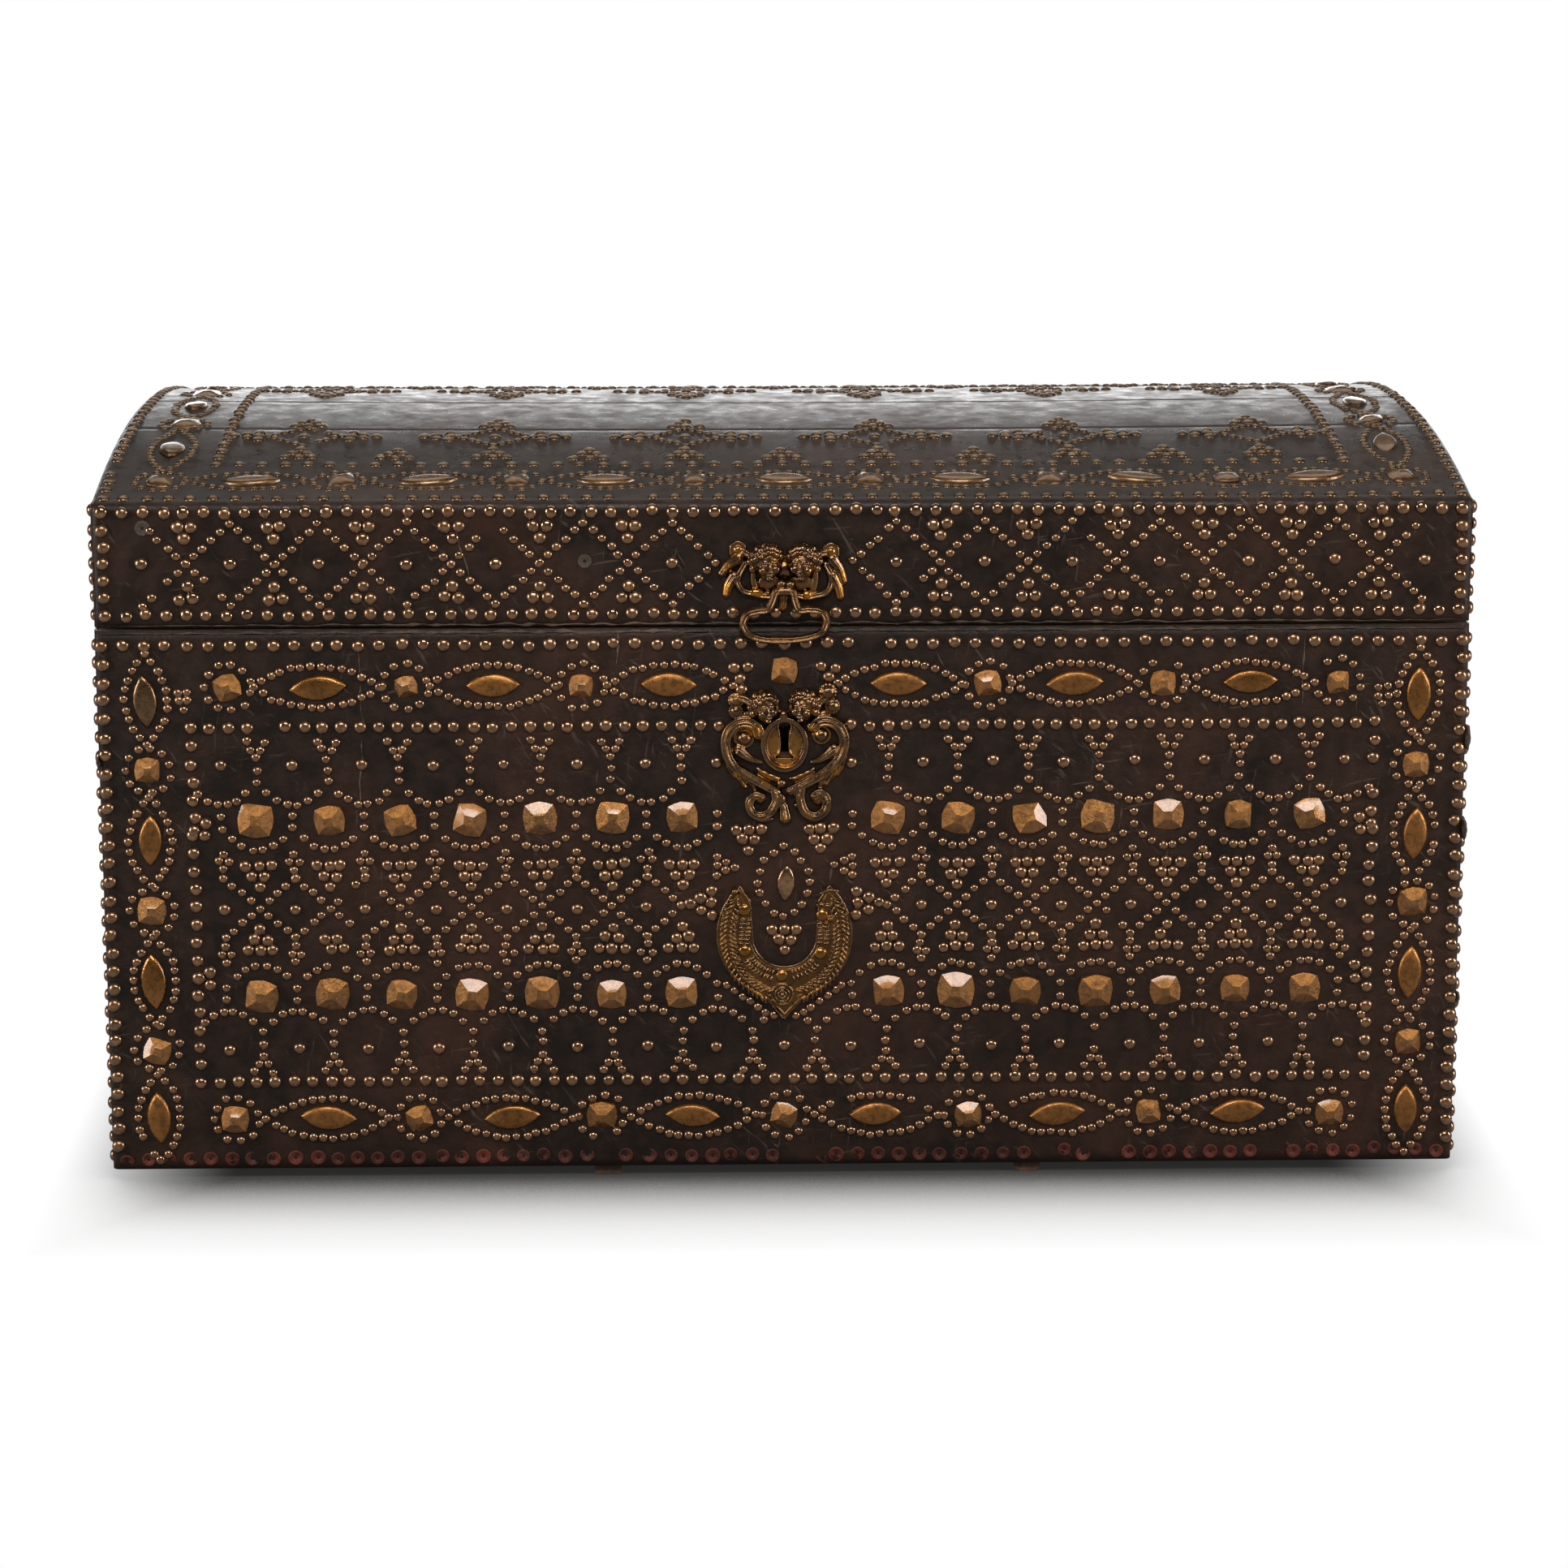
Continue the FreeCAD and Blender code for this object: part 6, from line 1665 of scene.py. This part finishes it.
def forged(name, node, body):
    """A softened copy of a node, a little thinner than the node and dented."""
    bm = melted(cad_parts[node].data.copy(), 0.9 * MM, 4)
    for vert in bm.verts:
        vert.co -= vert.normal * (ROOM + DENT * max(0, noise.noise(vert.co * 120)))
    return piece(name, bm, body, iron, (node,))


for side in ("left", "right"):
    forged(side + "_bar", side + "_handle", side + "_drop_handle")
    forged(side + "_lugs", side + "_handle_lugs", "case")

# %% [markdown]
# The floor is a white sheet. Far from the chest the camera sees plain white paper; near it a share of
# real shadow stays, and ambient occlusion darkens the paper under the foot. In reflections the sheet
# is a dim grey, so that brass and oiled hide do not mirror a glaring floor.

# %% Floor
floor_mesh = bmesh.new()
bmesh.ops.create_grid(floor_mesh, x_segments=1, y_segments=1, size=40)
floor = in_scene("floor", as_mesh("floor", floor_mesh))
WHITE, PAPER, UNDER_FOOT = rgb(1, 1, 1), rgb(0.86, 0.86, 0.86), rgb(0.03, 0.028, 0.026)
paper = bpy.data.materials.new("white paper")
paper.use_nodes = True
sheet = Nodes(paper.node_tree)
path = sheet.add("ShaderNodeLightPath").outputs
spot = sheet.add("ShaderNodeVectorMath", {0: sheet.place()}, operation="ABSOLUTE").outputs[0]
spot = sheet.add("ShaderNodeSeparateXYZ", {0: spot}).outputs
beside = sheet.span(spot["X"], HALF_WIDTH - 0.1, HALF_WIDTH + 0.05)
before = sheet.span(spot["Y"], HALF_DEPTH - 0.01, HALF_DEPTH + 0.17)
reach = sheet.math("POWER", sheet.larger(beside, before), 1.7)
seen = sheet.times(path["Is Camera Ray"], sheet.span(reach, 0.0, 1.0, 0.02, 1.0))
reflected = sheet.larger(path["Is Glossy Ray"], path["Is Transmission Ray"])
seen = sheet.plus(seen, sheet.times(reflected, 0.8))
openness = sheet.add("ShaderNodeAmbientOcclusion", {"Distance": 0.12}, samples=8).outputs["AO"]
shaded = sheet.blend(sheet.span(openness, 0.54, 0.99), UNDER_FOOT, PAPER)
matt = sheet.feed(paper.node_tree.nodes["Principled BSDF"], {"Base Color": shaded, "Roughness": 0.9})
glow = {"Strength": sheet.span(path["Is Camera Ray"], 0.0, 1.0, 0.22, 1.0), "Color": WHITE}
glow = sheet.add("ShaderNodeEmission", glow)
mixed = sheet.add("ShaderNodeMixShader", {0: seen, 1: matt.outputs[0], 2: glow.outputs[0]})
sheet.feed(paper.node_tree.nodes["Material Output"], {"Surface": mixed.outputs[0]})
floor.data.materials.append(paper)
print("floor", len(paper.node_tree.nodes), "nodes")

# %% [markdown]
# The world behind is white for the camera and gives only a weak, warm fill to the chest. The light
# comes from soft boxes: one at each side, one high in front, one overhead, and a long low one behind,
# which gives the lid its grey sheen. The camera does not see the lamps.

# %% World and lamps
world = bpy.data.worlds.new("studio")
scene.world = world
world.use_nodes = True
sky = Nodes(world.node_tree)
backdrop = sky.add("ShaderNodeBackground", {"Color": WHITE, "Strength": 1.0})
fill = sky.feed(world.node_tree.nodes["Background"], {"Color": rgb(1.0, 0.98, 0.95), "Strength": 0.1})
by_camera = sky.add("ShaderNodeLightPath").outputs["Is Camera Ray"]
mixed = sky.add("ShaderNodeMixShader", {0: by_camera, 1: fill.outputs[0], 2: backdrop.outputs[0]})
sky.feed(world.node_tree.nodes["World Output"], {"Surface": mixed.outputs[0]})
scene.view_settings.view_transform = "Standard"


def soft_box(name, stand, aim, width, height, power):
    """A rectangular lamp that looks at a point."""
    lamp = bpy.data.lights.new(name, "AREA")
    lamp.shape = "RECTANGLE"
    lamp.size, lamp.size_y, lamp.energy = width, height, power
    obj = in_scene(name, lamp)
    obj.location = stand
    obj.rotation_euler = (Vector(aim) - Vector(stand)).to_track_quat("-Z", "Y").to_euler()
    obj.visible_camera = False


CHEST_FRONT = (0, -0.2, 0.35)
for side in (-1, 1):
    soft_box(f"side_box_{side}", (2.3 * side, -1.0, 0.8), CHEST_FRONT, 0.5, 1.0, 27)
soft_box("front_box", (0, -2.1, 2.1), CHEST_FRONT, 1.7, 0.5, 46)
soft_box("top_box", (0, 0.9, 2.5), (0, 0, 0.5), 3.4, 1.6, 20)
soft_box("back_box", (0, 2.7, 0.82), (0, 0, 0.7), 4.4, 0.7, 35)
print(len(bpy.data.lights), "lamps")
